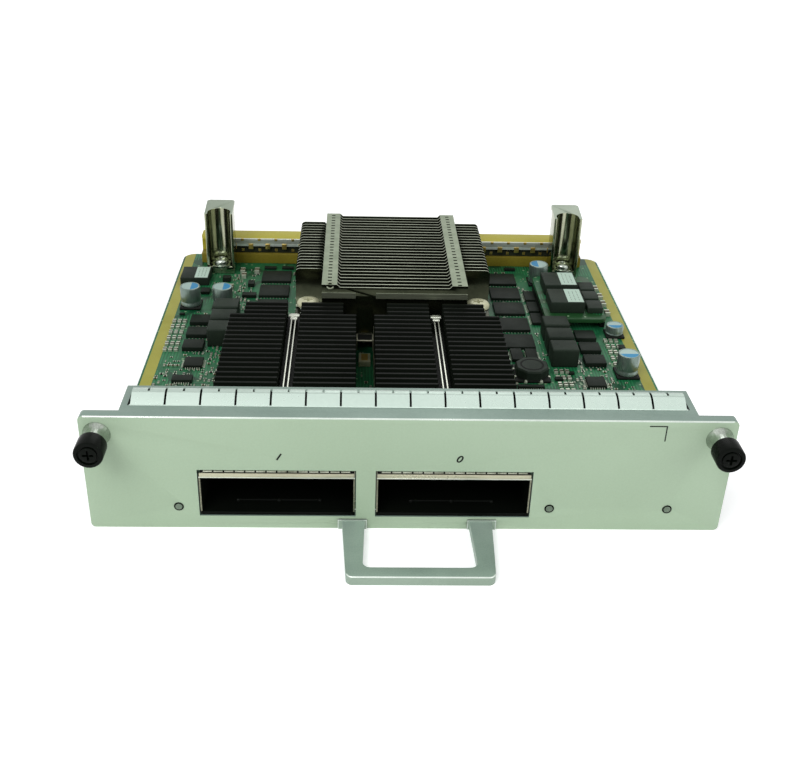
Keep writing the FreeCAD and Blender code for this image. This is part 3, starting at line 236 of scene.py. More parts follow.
def finish(name, light, dark, rough, metal=0.0, streaks=None, fine=2500.0, patch=40.0, bump=0.15, depth=0.02,
           coat=0.0, roughSpan=0.1, shine=0.5):
    # a finish from two tones mixed by a grain or by streaks, with the roughness following the same mask
    material, tree, shader = newMaterial(name)
    place = addNode(tree, "ShaderNodeTexCoord").outputs["Object"]
    if streaks:
        pattern = addNode(tree, "ShaderNodeGroup", {"Position": place, "Along": streaks},
                          node_tree=brushedLines)
    else:
        pattern = addNode(tree, "ShaderNodeGroup", {"Position": place, "Fine": fine, "Patch": patch},
                          node_tree=surfaceGrain)
    tone = pattern.outputs["Tone"]
    setInputs(tree, shader, {
        "Base Color": blendColour(tree, tone, shade(*dark), shade(*light)),
        "Roughness": spread(tree, tone, 0.0, 1.0, rough + roughSpan, rough - roughSpan / 2),
        "Metallic": metal, "Coat Weight": coat, "Specular IOR Level": shine,
        "Normal": addBump(tree, pattern.outputs["Height"], bump, depth)})
    material.diffuse_color = shade(*light)
    return material


boardLook = {
    "mask": (22, 92, 56), "pour": (13, 66, 40), "track": (38, 116, 72), "hole": (126, 156, 120),
    "border": (168, 166, 66), "borderDark": (146, 142, 48), "borderStart": 85.3, "borderEnd": 89.3,
    "roughness": 0.36, "shine": 0.22, "patch": 55.0, "holeRise": 0.6, "bump": 0.4, "depth": 0.03,
}
riserLook = {**boardLook, "mask": (30, 70, 36), "pour": (24, 52, 28)}


def makeBoardFinish(name, look, bordered):
    material, tree, shader = newMaterial(name)
    place = addNode(tree, "ShaderNodeTexCoord").outputs["Object"]
    tracks = addNode(tree, "ShaderNodeGroup", {"Position": place}, node_tree=boardTracks).outputs
    grain = addNode(tree, "ShaderNodeGroup", {"Position": place, "Patch": look["patch"]},
                    node_tree=surfaceGrain).outputs["Tone"]
    colour = blendColour(tree, tracks["Pour"], shade(*look["mask"]), shade(*look["pour"]))
    colour = blendColour(tree, tracks["Track"], colour, shade(*look["track"]))
    colour = blendColour(tree, tracks["Hole"], colour, shade(*look["hole"]))
    if bordered:
        side = calc(tree, "ABSOLUTE", addNode(tree, "ShaderNodeSeparateXYZ", {0: place}).outputs["X"])
        strip = calc(tree, "MULTIPLY", calc(tree, "GREATER_THAN", side, look["borderStart"] * mm),
                     calc(tree, "LESS_THAN", side, look["borderEnd"] * mm))
        yellow = blendColour(tree, grain, shade(*look["borderDark"]), shade(*look["border"]))
        colour = blendColour(tree, strip, colour, yellow)
    raised = calc(tree, "MAXIMUM", tracks["Track"], calc(tree, "MULTIPLY", tracks["Hole"], look["holeRise"]))
    setInputs(tree, shader, {
        "Base Color": colour, "Specular IOR Level": look["shine"],
        "Roughness": spread(tree, grain, 0.0, 1.0, look["roughness"] + 0.1, look["roughness"] - 0.05),
        "Normal": addBump(tree, raised, look["bump"], look["depth"])})
    return material


alongX = (60.0, 2400.0, 2400.0)
partGrain = {"fine": 3200.0, "patch": 300.0, "shine": 0.2}
# each finish: its light and dark tone, its roughness and what else departs from plain
finishLooks = {
    "panelPaint": ((176, 197, 171), (166, 187, 160), 0.44,
                   {"fine": 1800.0, "patch": 14.0, "bump": 0.08, "shine": 0.3}),
    # painted highlight, for edges, lips and outlines that catch the light
    "panelEdge": ((232, 240, 232), (196, 208, 198), 0.3, {"metal": 0.5, "fine": 2600.0, "bump": 0.3}),
    "flangeSatin": ((130, 150, 139), (116, 136, 126), 0.36,
                    {"metal": 0.3, "fine": 2600.0, "bump": 0.12, "shine": 0.3}),
    "handleTop": ((160, 180, 166), (132, 152, 140), 0.32, {"metal": 0.2, "patch": 60.0, "shine": 0.3}),
    # a second copy of the handle's finish for its front faces, for painted light
    "handleFront": ((158, 176, 160), (140, 158, 142), 0.32, {"metal": 0.3, "patch": 60.0}),
    "springSteel": ((210, 227, 216), (196, 214, 203), 0.28,
                    {"metal": 0.35, "fine": 900.0, "patch": 20.0, "bump": 0.03}),
    "springShade": ((184, 200, 190), (168, 184, 174), 0.3, {"metal": 0.5, "fine": 900.0, "bump": 0.03}),
    "clipSteel": ((206, 210, 196), (170, 174, 162), 0.26, {"metal": 0.8, "fine": 1200.0, "bump": 0.05}),
    "gasketSteel": ((196, 194, 168), (170, 168, 144), 0.3, {"metal": 0.55, "fine": 1800.0}),
    "gasketFinger": ((206, 210, 190), (120, 124, 106), 0.26, {"metal": 0.6, "fine": 1500.0, "patch": 260.0}),
    "brightSteel": ((196, 204, 194), (130, 138, 128), 0.2,
                    {"metal": 1.0, "fine": 2200.0, "patch": 160.0, "bump": 0.06}),
    "knobBlack": ((9, 14, 9), (4, 7, 4), 0.24, {"fine": 3500.0, "bump": 0.08, "shine": 0.07}),
    # black, for painted shade under the finger strip, in the ports and on the tie, and for the lamp rims and
    # the drum's winding
    "pocketBlack": ((10, 13, 9), (4, 6, 4), 0.5, {"fine": 3000.0, "shine": 0.05}),
    "lensGreen": ((104, 122, 102), (84, 100, 82), 0.25, {"coat": 0.2, "fine": 1500.0, "bump": 0.05}),
    "lampBody": ((34, 38, 34), (24, 27, 24), 0.5, {"shine": 0.2}),
    "cageSteel": ((150, 150, 130), (112, 112, 96), 0.34, {"metal": 0.8, "streaks": (2200.0, 70.0, 2200.0)}),
    "socketBlack": ((20, 23, 20), (12, 14, 12), 0.5, {"shine": 0.12}),
    "sinkBlack": ((14, 19, 13), (6, 8, 5), 0.34,
                  {"fine": 2800.0, "patch": 30.0, "bump": 0.18, "shine": 0.04}),
    # the fin stack's aluminium in a bright copy for painted highlights on its tops and a dark copy for
    # painted shade on its sides
    "finEdge": ((190, 198, 174), (150, 158, 134), 0.3, {"metal": 0.7, "streaks": alongX, "bump": 0.1}),
    "finFace": ((40, 44, 33), (24, 28, 20), 0.36,
                {"metal": 0.8, "streaks": (60.0, 900.0, 2400.0), "bump": 0.08}),
    "finBand": ((132, 144, 118), (110, 122, 98), 0.34,
                {"metal": 0.5, "fine": 2600.0, "patch": 200.0, "bump": 0.2}),
    # a dark polished copy for painted shade on the fin stack's fronts and base
    "finFront": ((62, 66, 50), (36, 40, 28), 0.16,
                 {"metal": 0.9, "fine": 600.0, "patch": 70.0, "bump": 0.1, "depth": 0.05}),
    "finAluminium": ((140, 146, 126), (104, 110, 92), 0.32, {"metal": 0.7, "streaks": alongX, "bump": 0.1}),
    "screwCream": ((206, 206, 172), (176, 176, 142), 0.34, {"metal": 0.2, "bump": 0.1}),
    "chipBlack": ((30, 38, 31), (18, 25, 19), 0.46,
                  {"fine": 4200.0, "patch": 90.0, "bump": 0.25, "shine": 0.08}),
    "lidNickel": ((190, 190, 178), (168, 168, 156), 0.32, {"metal": 0.9}),
    "beamYellow": ((182, 174, 58), (162, 152, 42), 0.42,
                   {"fine": 1600.0, "patch": 26.0, "bump": 0.12, "shine": 0.14}),
    # a darker copy of the beam's yellow, for painted shade on its lower faces
    "beamDark": ((140, 128, 42), (110, 98, 28), 0.42,
                 {"fine": 1600.0, "patch": 60.0, "bump": 0.12, "shine": 0.2}),
    "railGrey": ((206, 212, 200), (172, 178, 166), 0.28, {"metal": 0.6, "streaks": (60.0, 2200.0, 2200.0)}),
    "contactGold": ((220, 194, 116), (184, 154, 76), 0.28, {"metal": 0.9, "bump": 0.06}),
    "guideChrome": ((170, 174, 150), (140, 144, 120), 0.14,
                    {"metal": 1.0, "fine": 500.0, "patch": 60.0, "bump": 0.05, "depth": 0.05,
                     "roughSpan": 0.05}),
    "guideHood": ((152, 164, 146), (130, 142, 124), 0.34, {"metal": 0.3, "bump": 0.08}),
    "baseBlack": ((22, 26, 22), (12, 15, 12), 0.5, {"shine": 0.12}),
    "canAluminium": ((132, 148, 140), (100, 116, 108), 0.3,
                     {"metal": 0.7, "streaks": (900.0, 900.0, 60.0), "bump": 0.05}),
    "canTop": ((160, 184, 176), (140, 164, 158), 0.4, {"metal": 0.3, "fine": 1800.0}),
    "canBlue": ((48, 140, 184), (34, 112, 158), 0.4, {"fine": 1800.0, "shine": 0.2}),
    "ferrite": ((40, 50, 41), (24, 32, 25), 0.5,
                {"fine": 3200.0, "patch": 80.0, "bump": 0.35, "shine": 0.1}),
    "partTan": ((92, 84, 58), (62, 56, 38), 0.5, partGrain),
    "partDark": ((34, 36, 32), (20, 22, 20), 0.5, partGrain),
    "beadBrown": ((62, 56, 38), (40, 36, 24), 0.5, partGrain),
    "bandOlive": ((50, 55, 42), (32, 36, 26), 0.5, {"fine": 1800.0, "patch": 120.0, "shine": 0.1}),
    "partEnds": ((206, 212, 194), (160, 168, 150), 0.3, {"metal": 0.5, "fine": 3000.0, "patch": 400.0}),
    "labelMint": ((192, 216, 200), (178, 202, 186), 0.55, {"fine": 1500.0, "bump": 0.05}),
    "labelGrey": ((128, 146, 134), (116, 134, 122), 0.6, {}),
    "printBlack": ((34, 40, 34), (24, 30, 25), 0.5, {"bump": 0.04, "shine": 0.2}),
}
finishes = {name: finish(name, light, dark, rough, **more)
            for name, (light, dark, rough, more) in finishLooks.items()}
finishes["boardGreen"] = makeBoardFinish("boardGreen", boardLook, True)
finishes["riserGreen"] = makeBoardFinish("riserGreen", riserLook, False)
slotFinish = {
    "panel_paint": "panelPaint", "spring_steel": "springSteel", "handle_satin": "handleTop",
    "bright_steel": "brightSteel", "knob_black": "knobBlack", "light_pipe": "lensGreen",
    "lamp_body": "lampBody", "board_green": "boardGreen", "cage_steel": "cageSteel",
    "socket_black": "socketBlack", "sink_black": "sinkBlack", "fin_aluminium": "finAluminium",
    "screw_cream": "screwCream", "chip_black": "chipBlack", "lid_nickel": "lidNickel",
    "beam_yellow": "beamYellow", "rail_grey": "railGrey", "contact_gold": "contactGold",
    "guide_chrome": "guideChrome", "base_black": "baseBlack", "can_aluminium": "canAluminium",
    "ferrite": "ferrite", "passive_tan": "partTan",
}
finishOf = {node: slotFinish[slot] for node, slot in slotOf.items()}
finishOf.update({"power_riser_board": "riserGreen", "left_port_gasket": "gasketSteel",
                 "right_port_gasket": "gasketSteel", "backplane_modules": "baseBlack",
                 "signal_block": "bandOlive", "backing_plate": "cageSteel"})
for name, thing in frame["nodes"].items():
    thing.data.materials.clear()
    thing.data.materials.append(finishes[finishOf[name]])
print("finishes made:", len(finishes))


# mesh helpers

def addPiece(name, mesh, replaced=(), body="card", angle=35):
    piece = addObject(name, mesh)
    for face in mesh.polygons:
        face.use_smooth = True
    mesh.set_sharp_from_angle(angle=math.radians(angle))
    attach(piece, body)
    if replaced:
        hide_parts(*replaced)
    return piece


def meshFrom(shape, name, *kinds):
    bmesh.ops.recalc_face_normals(shape, faces=shape.faces)
    mesh = bpy.data.meshes.new(name)
    shape.to_mesh(mesh)
    shape.free()
    for kind in kinds:
        mesh.materials.append(finishes[kind])
    return mesh


def addShape(shape, name, slot, *kinds, replaced=(), body="card", angle=35):
    # a built form as a piece, in one finish or in several by its faces' numbers
    return addPiece(name, meshFrom(shape, name, *kinds), replaced, body, angle)


def nodeShape(node):
    # the node's own triangles, joined where they meet
    shape = bmesh.new()
    shape.from_mesh(frame["nodes"][node].data)
    bmesh.ops.remove_doubles(shape, verts=shape.verts, dist=weldReach)
    return shape


def bevelEdges(shape, edges, width, segments=2, profile=0.6, clamp=True):
    return bmesh.ops.bevel(shape, geom=edges, offset=width * mm, segments=segments, profile=profile,
                           affect="EDGES", clamp_overlap=clamp)["faces"]


def roundEdges(shape, width, segments, limit=30.0):
    sharp = []
    for edge in shape.edges:
        if len(edge.link_faces) == 2 and edge.calc_face_angle(0.0) > math.radians(limit):
            sharp.append(edge)
    bevelEdges(shape, sharp, width, segments)


def softCopy(node, width, kind=None, segments=2, wide=None, clamp=True):
    # the node's own shape with its loose triangles joined and its edges rounded, a picked few of them more
    shape = nodeShape(node)
    bmesh.ops.dissolve_limit(shape, angle_limit=math.radians(1.0), verts=shape.verts, edges=shape.edges)
    if wide:
        reach, picked = wide
        edges = [edge for edge in shape.edges if all(picked(vert.co) for vert in edge.verts)]
        bevelEdges(shape, edges, reach, segments=4, profile=0.5, clamp=clamp)
    if width:
        roundEdges(shape, width, segments)
    name = "".join(word.capitalize() for word in node.split("_"))
    name = name[0].lower() + name[1:] + "Rounded"
    return addShape(shape, name, slotOf[node], kind or finishOf[node], replaced=(node,), body=bodyOf[node])


def softCopies(edges):
    for node, width in edges.items():
        softCopy(node, width)


def thicken(shape, thickness):
    shape.normal_update()
    bmesh.ops.solidify(shape, geom=shape.faces[:], thickness=thickness * mm)


def paintFaces(piece, choices):
    # other finishes for some faces: each choice is a finish and a test of a face's middle and normal
    mesh = piece.data
    for kind, chosen in choices:
        mesh.materials.append(finishes[kind])
        number = len(mesh.materials) - 1
        for polygon in mesh.polygons:
            if chosen(polygon.center, polygon.normal):
                polygon.material_index = number


def solidBoxes(node):
    # the low and high corner of each separate solid of a node
    shape = nodeShape(node)
    seen = set()
    found = []
    for start in shape.verts:
        if start in seen:
            continue
        seen.add(start)
        waiting = [start]
        low = start.co.copy()
        high = start.co.copy()
        while waiting:
            here = waiting.pop()
            low = Vector(map(min, low, here.co))
            high = Vector(map(max, high, here.co))
            for edge in here.link_edges:
                after = edge.other_vert(here)
                if after not in seen:
                    seen.add(after)
                    waiting.append(after)
        found.append((low, high))
    shape.free()
    return found


def addBlock(shape, low, high, chamfer=0.0, kind=0):
    # a block between two corners in metres, with its edges rounded by a size in mm
    low, high = Vector(low), Vector(high)
    made = bmesh.ops.create_cube(shape, size=1.0)["verts"]
    size = high - low
    middle = (low + high) / 2
    for vert in made:
        vert.co = Vector((vert.co.x * size.x, vert.co.y * size.y, vert.co.z * size.z)) + middle
    faces = {face for vert in made for face in vert.link_faces}
    if chamfer:
        edges = {edge for vert in made for edge in vert.link_edges}
        rounded = bevelEdges(shape, list(edges), chamfer)
        faces = {face for face in faces if face.is_valid} | set(rounded)
    for face in faces:
        face.material_index = kind


def addTurned(shape, profile, place, steps=40, kind=0):
    # a closed turned form: profile is (radius, height) in mm from one end to the other, along local Z
    rings = []
    for radius, height in profile:
        if radius < 1e-6:
            rings.append([shape.verts.new(place @ Vector((0, 0, height * mm)))])
            continue
        ring = []
        for step in range(steps):
            angle = 2 * math.pi * step / steps
            local = Vector((radius * math.cos(angle), radius * math.sin(angle), height)) * mm
            ring.append(shape.verts.new(place @ local))
        rings.append(ring)
    made = []
    for near, far in zip(rings, rings[1:]):
        for step in range(steps):
            after = (step + 1) % steps
            if len(near) == 1:
                corners = [near[0], far[after], far[step]]
            elif len(far) == 1:
                corners = [near[step], near[after], far[0]]
            else:
                corners = [near[step], near[after], far[after], far[step]]
            made.append(shape.faces.new(corners))
    for face in made:
        face.material_index = kind


def bridgeRows(shape, rows, closed=False):
    # faces between each row of vertices and the next
    for near, far in zip(rows, rows[1:]):
        for side in range(len(near) if closed else len(near) - 1):
            after = (side + 1) % len(near)
            shape.faces.new([near[side], near[after], far[after], far[side]])


def facingOut(x, y, z):
    # local Z points out of the panel, towards the viewer
    return Matrix.Translation(spot(x, y, z)) @ Matrix.Rotation(math.radians(90), 4, "X")


def cutCross(mesh, place, reach, width, depth, taper=0.55):
    # a cross recess sunk along local Z from the place given, narrower at its foot
    tool = bmesh.new()
    for turn in (0, 90):
        spin = place @ Matrix.Rotation(math.radians(turn), 4, "Z")
        made = bmesh.ops.create_cube(tool, size=1.0)["verts"]
        for vert in made:
            sunk = vert.co.z < 0
            share = taper if sunk else 1.0
            local = Vector((vert.co.x * 2 * reach * share, vert.co.y * width * share,
                            -depth if sunk else depth)) * mm
            vert.co = spin @ local
    toolMesh = bpy.data.meshes.new("crossTool")
    tool.to_mesh(toolMesh)
    tool.free()
    cutter = addObject("crossTool", toolMesh)
    host = addObject("crossHost", mesh)
    modifier = host.modifiers.new("cross", "BOOLEAN")
    modifier.operation = "DIFFERENCE"
    modifier.object = cutter
    modifier.solver = "EXACT"
    modifier.use_self = True
    made = plainMesh(host)
    bpy.data.objects.remove(host)
    bpy.data.objects.remove(cutter)
    return made


# geometry node trees

def newTree(name, inputs):
    tree = bpy.data.node_groups.new(name, "GeometryNodeTree")
    for label, kind in inputs:
        tree.interface.new_socket(label, in_out="INPUT", socket_type="NodeSocket" + kind)
    tree.interface.new_socket("Geometry", in_out="OUTPUT", socket_type="NodeSocketGeometry")
    return tree, tree.nodes.new("NodeGroupInput").outputs


def endTree(tree, given, shape):
    real = addNode(tree, "GeometryNodeRealizeInstances", {0: shape})
    paint = addNode(tree, "GeometryNodeSetMaterial", {"Geometry": real.outputs[0],
                                                      "Material": given["Finish"]})
    addNode(tree, "NodeGroupOutput", {0: paint.outputs[0]})
    return tree


def partCopies(tree, given, places):
    # the part that the tree was given, at each place
    part = addNode(tree, "GeometryNodeObjectInfo", {"Object": given["Part"]})
    return addNode(tree, "GeometryNodeInstanceOnPoints", {**places, "Instance": part.outputs["Geometry"]})


def makeRowTree():
    # copies of one part in a straight row
    tree, given = newTree("partRow", [("Geometry", "Geometry"), ("Part", "Object"), ("Count", "Int"),
                                      ("Start", "Vector"), ("Step", "Vector"), ("Finish", "Material")])
    line = addNode(tree, "GeometryNodeMeshLine", {"Count": given["Count"], "Start Location": given["Start"],
                                                  "Offset": given["Step"]}, mode="OFFSET")
    return endTree(tree, given, partCopies(tree, given, {"Points": line.outputs[0]}).outputs[0])


def makePlacedTree():
    # one part at every point of a mesh, turned by the point's own turn and a little at random
    tree, given = newTree("partsPlaced", [("Geometry", "Geometry"), ("Part", "Object"), ("Skew", "Float"),
                                          ("Seed", "Int"), ("Finish", "Material")])
    turn = addNode(tree, "GeometryNodeInputNamedAttribute", {"Name": "turn"}, data_type="FLOAT")
    low = calc(tree, "MULTIPLY", given["Skew"], -1.0)
    chance = addNode(tree, "FunctionNodeRandomValue", {2: low, 3: given["Skew"], "Seed": given["Seed"]},
                     data_type="FLOAT")
    total = calc(tree, "ADD", turn.outputs[0], chance.outputs[1])
    spin = addNode(tree, "ShaderNodeCombineXYZ", {"Z": total})
    copies = partCopies(tree, given, {"Points": given["Geometry"], "Rotation": spin.outputs[0]})
    return endTree(tree, given, copies.outputs[0])


def makeCoilTree():
    # a round-wire coil spring standing on the origin
    tree, given = newTree("wireCoil", [("Geometry", "Geometry"), ("Turns", "Float"), ("Radius", "Float"),
                                       ("Height", "Float"), ("Wire", "Float"), ("Finish", "Material")])
    coil = addNode(tree, "GeometryNodeCurveSpiral", {
        "Resolution": 28, "Rotations": given["Turns"], "Start Radius": given["Radius"],
        "End Radius": given["Radius"], "Height": given["Height"]})
    wire = addNode(tree, "GeometryNodeCurvePrimitiveCircle", {"Resolution": 10, "Radius": given["Wire"]})
    skin = addNode(tree, "GeometryNodeCurveToMesh", {
        "Curve": coil.outputs[0], "Profile Curve": wire.outputs[0], "Fill Caps": True})
    return endTree(tree, given, skin.outputs[0])


def grow(tree, kind, values, points=()):
    # runs a tree on a mesh and returns the result as a plain mesh
    mesh = bpy.data.meshes.new("growPoints")
    if points:
        mesh.from_pydata([place for place, turn in points], [], [])
        turns = mesh.attributes.new("turn", "FLOAT", "POINT")
        turns.data.foreach_set("value", [turn for place, turn in points])
    maker = addObject("grower", mesh)
    modifier = maker.modifiers.new("grow", "NODES")
    modifier.node_group = tree
    values = {**values, "Finish": finishes[kind]}
    for item in tree.interface.items_tree:
        if item.in_out == "INPUT" and item.name in values:
            modifier[item.identifier] = values[item.name]
    made = plainMesh(maker)
    maker.modifiers.remove(modifier)
    bpy.data.objects.remove(maker)
    return made


def growPart(shape, tree, kind, values, points=()):
    # the same with a built form as the tree's part
    part = addObject("part", meshFrom(shape, "part"))
    made = grow(tree, kind, {**values, "Part": part}, points)
    bpy.data.objects.remove(part)
    return made


def growRow(shape, kind, count, start, pitch):
    values = {"Count": count, "Start": Vector(start), "Step": Vector((pitch, 0, 0))}
    return growPart(shape, rowTree, kind, values)


rowTree = makeRowTree()
placedTree = makePlacedTree()
coilTree = makeCoilTree()
print("trees built")


# camera, floor and light

cameraView = {"x": -15.45, "depth": -247.27, "height": 187.63, "lens": 48.96, "shiftX": 0.0050,
              "shiftY": 0.0035, "tilt": -0.5127, "swing": 0.0370, "roll": 0.0281}


def makeCamera(view):
    tilt, swing, roll = view["tilt"], view["swing"], view["roll"]
    ahead = Vector((math.sin(swing) * math.cos(tilt), math.cos(swing) * math.cos(tilt), math.sin(tilt)))
    right = Vector((math.cos(swing), -math.sin(swing), 0.0))
    up = right.cross(ahead)
    turnedRight = math.cos(roll) * right + math.sin(roll) * up
    turnedUp = math.cos(roll) * up - math.sin(roll) * right
    camera = bpy.data.cameras.new("camera")
    camera.lens = view["lens"]
    camera.sensor_width = 36.0
    camera.shift_x = view["shiftX"]
    camera.shift_y = view["shiftY"]
    camera.clip_start = 0.01
    holder = addObject("camera", camera)
    turn = Matrix((turnedRight, turnedUp, -ahead)).transposed().to_4x4()
    holder.matrix_world = Matrix.Translation(spot(view["x"], view["depth"], view["height"])) @ turn
    bpy.context.scene.camera = holder


# each lamp has its size in m, its power in W, its place and what it points at
studio = {
    "worldLevel": 0.5, "worldTint": (0.97, 0.99, 1.0, 1.0), "floorSize": 3.0, "floorGlow": 0.36,
    "floorNear": 0.3, "floorFar": 0.75, "floorTone": (0.96, 0.96, 0.96, 1.0), "floorRough": 0.9,
    "floorShine": 0.1,
    "lamps": {"keyLamp": (0.5, 3.6, (-0.35, -0.5, 0.65), (0.0, -0.02, 0.02)),
              "fillLamp": (0.5, 1.0, (0.55, -0.4, 0.4), (0.0, 0.0, 0.02)),
              "rimLamp": (0.4, 0.6, (0.1, 0.5, 0.5), (0.0, 0.05, 0.02))},
}


def seenDirectly(tree):
    # 1 for what the camera sees, itself or in a mirror
    paths = addNode(tree, "ShaderNodeLightPath").outputs
    return calc(tree, "MAXIMUM", paths["Is Camera Ray"], paths["Is Glossy Ray"]), paths


def makeStudio(values):
    world = bpy.data.worlds.new("studio")
    bpy.context.scene.world = world
    world.use_nodes = True
    tree = world.node_tree
    tree.nodes.clear()
    seen, paths = seenDirectly(tree)
    seen = calc(tree, "MAXIMUM", seen, paths["Is Transmission Ray"])
    soft = addNode(tree, "ShaderNodeBackground", {"Color": values["worldTint"],
                                                  "Strength": values["worldLevel"]})
    white = addNode(tree, "ShaderNodeBackground", {"Color": (1.0, 1.0, 1.0, 1.0), "Strength": 1.0})
    mixer = addNode(tree, "ShaderNodeMixShader", {0: seen, 1: soft.outputs[0], 2: white.outputs[0]})
    addNode(tree, "ShaderNodeOutputWorld", {0: mixer.outputs[0]})
    for name, (size, power, place, target) in values["lamps"].items():
        lamp = bpy.data.lights.new(name, "AREA")
        lamp.shape = "SQUARE"
        lamp.size = size
        lamp.energy = power
        holder = addObject(name, lamp)
        holder.location = Vector(place)
        holder.rotation_mode = "QUATERNION"
        holder.rotation_quaternion = (Vector(target) - Vector(place)).to_track_quat("-Z", "Y")


def makeFloor(values):
    # a white floor that keeps the card's shadow and brightens to plain white away from it
    material, tree, shader = newMaterial("floorWhite")
    setInputs(tree, shader, {"Base Color": values["floorTone"], "Roughness": values["floorRough"],
                             "Specular IOR Level": values["floorShine"]})
    seen = seenDirectly(tree)[0]
    place = addNode(tree, "ShaderNodeTexCoord").outputs["Object"]
    distance = addNode(tree, "ShaderNodeVectorMath", {0: place}, operation="LENGTH").outputs["Value"]
    rise = spread(tree, distance, values["floorNear"], values["floorFar"], values["floorGlow"], 1.0)
    glow = addNode(tree, "ShaderNodeEmission", {"Strength": calc(tree, "MULTIPLY", seen, rise)})
    both = addNode(tree, "ShaderNodeAddShader", {0: shader.outputs[0], 1: glow.outputs[0]})
    setInputs(tree, tree.nodes["Material Output"], {"Surface": both.outputs[0]})
    shape = bmesh.new()
    bmesh.ops.create_grid(shape, x_segments=1, y_segments=1, size=values["floorSize"])
    mesh = bpy.data.meshes.new("floor")
    shape.to_mesh(mesh)
    shape.free()
    mesh.materials.append(material)
    addObject("floor", mesh)


makeCamera(cameraView)
makeStudio(studio)
makeFloor(studio)
bpy.context.scene.view_settings.view_transform = "Standard"
print("camera and studio ready")


# panel, handle and thumb screws

panelLook = {"edge": 0.3, "topEdge": 0.34, "paintDepth": 0.6, "rimBand": 1.0, "markX": 65.3, "markZ": 35.3,
             "markReach": 5.0, "markLine": 0.35, "markDepth": 0.03, "digitSize": 3.3, "digitBold": 0.09,
             "digitLean": -32, "digits": (("1", -36.3, 24.1), ("0", 13.8, 23.8))}


def makePanel(look):
    painted = inward(look["paintDepth"])
    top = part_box("front_panel")[1].z
    rim = top - look["rimBand"] * mm

    def onTopEdge(place):
        return place.z > top - levelReach * mm and place.y < inward(levelReach)
    panel = softCopy("front_panel", look["edge"], wide=(look["topEdge"], onTopEdge))
    # the flange in its satin finish, and a painted highlight on the rounded faces along the top front edge
    paintFaces(panel, [
        ("flangeSatin", lambda middle, normal: middle.y > painted),
        ("panelEdge", lambda middle, normal: middle.z > rim and normal.z > 0.15 and normal.y < -0.15)])

    # a corner mark and the two ports' plain numbers, printed on the face
    shape = bmesh.new()
    line, reach, deep = look["markLine"], look["markReach"], look["markDepth"]
    x, z = look["markX"], look["markZ"]
    addBlock(shape, spot(x, -deep, z - line), spot(x + reach, deep, z))
    addBlock(shape, spot(x + reach - line, -deep, z - reach), spot(x + reach, deep, z - line))
    addShape(shape, "cornerMark", "panel_paint", "printBlack")
    lean = Matrix.Rotation(math.radians(look["digitLean"]), 4, "Z")
    for digit, x, z in look["digits"]:
        curve = bpy.data.curves.new("portNumber" + digit, "FONT")
        curve.body = digit
        curve.size = look["digitSize"] * mm
        curve.extrude = deep * mm
        curve.offset = look["digitBold"] * mm
        curve.align_x = "CENTER"
        curve.align_y = "CENTER"
        holder = addObject("portNumberMaker" + digit, curve)
        mesh = plainMesh(holder)
        bpy.data.objects.remove(holder)
        mesh.transform(facingOut(x, 0, z) @ lean)
        mesh.materials.clear()
        mesh.materials.append(finishes["printBlack"])
        addPiece("portNumber" + digit, mesh)


# inner and outer are the arms' sides in the solid; root and end say where they go, at the panel and the bar
handleLook = {
    "edge": 0.4, "rim": 0.5, "crest": 2.8, "rimDepth": 2.25, "rimHalf": 20.75, "reach": 25.0,
    "inner": 15.1, "outer": 20.7, "innerRoot": 15.0, "innerEnd": 15.8, "outerRoot": 21.5, "outerEnd": 20.1,
    "padInner": 0.9, "padOuter": 0.4, "padDepth": 1.2, "padProud": 0.4, "padSlack": 0.2,
    "bore": (16.9, 18.9), "boreDepth": 8.1, "boreTop": 2.6,
    "line": 0.26, "lineProud": 0.06, "footInner": 13.5, "footOuter": 22.3, "footBand": 0.1, "lowBand": 1.0,
}


def armPlace(look, deep, aside):
    # where a point of the handle goes across: the arms narrow, the feet spread
    share = min(max(deep / look["reach"], 0), 1)
    inner = look["innerRoot"] + (look["innerEnd"] - look["innerRoot"]) * share
    outer = look["outerRoot"] + (look["outerEnd"] - look["outerRoot"]) * share
    onPad = deep < look["padDepth"] + levelReach
    if onPad and aside < look["inner"] - look["padSlack"]:
        return aside + look["padInner"]
    if onPad and aside > look["outer"] + look["padSlack"]:
        return aside + look["padOuter"]
    if aside < look["inner"]:
        return aside * inner / look["inner"]
    return inner + (outer - inner) * (aside - look["inner"]) / (look["outer"] - look["inner"])


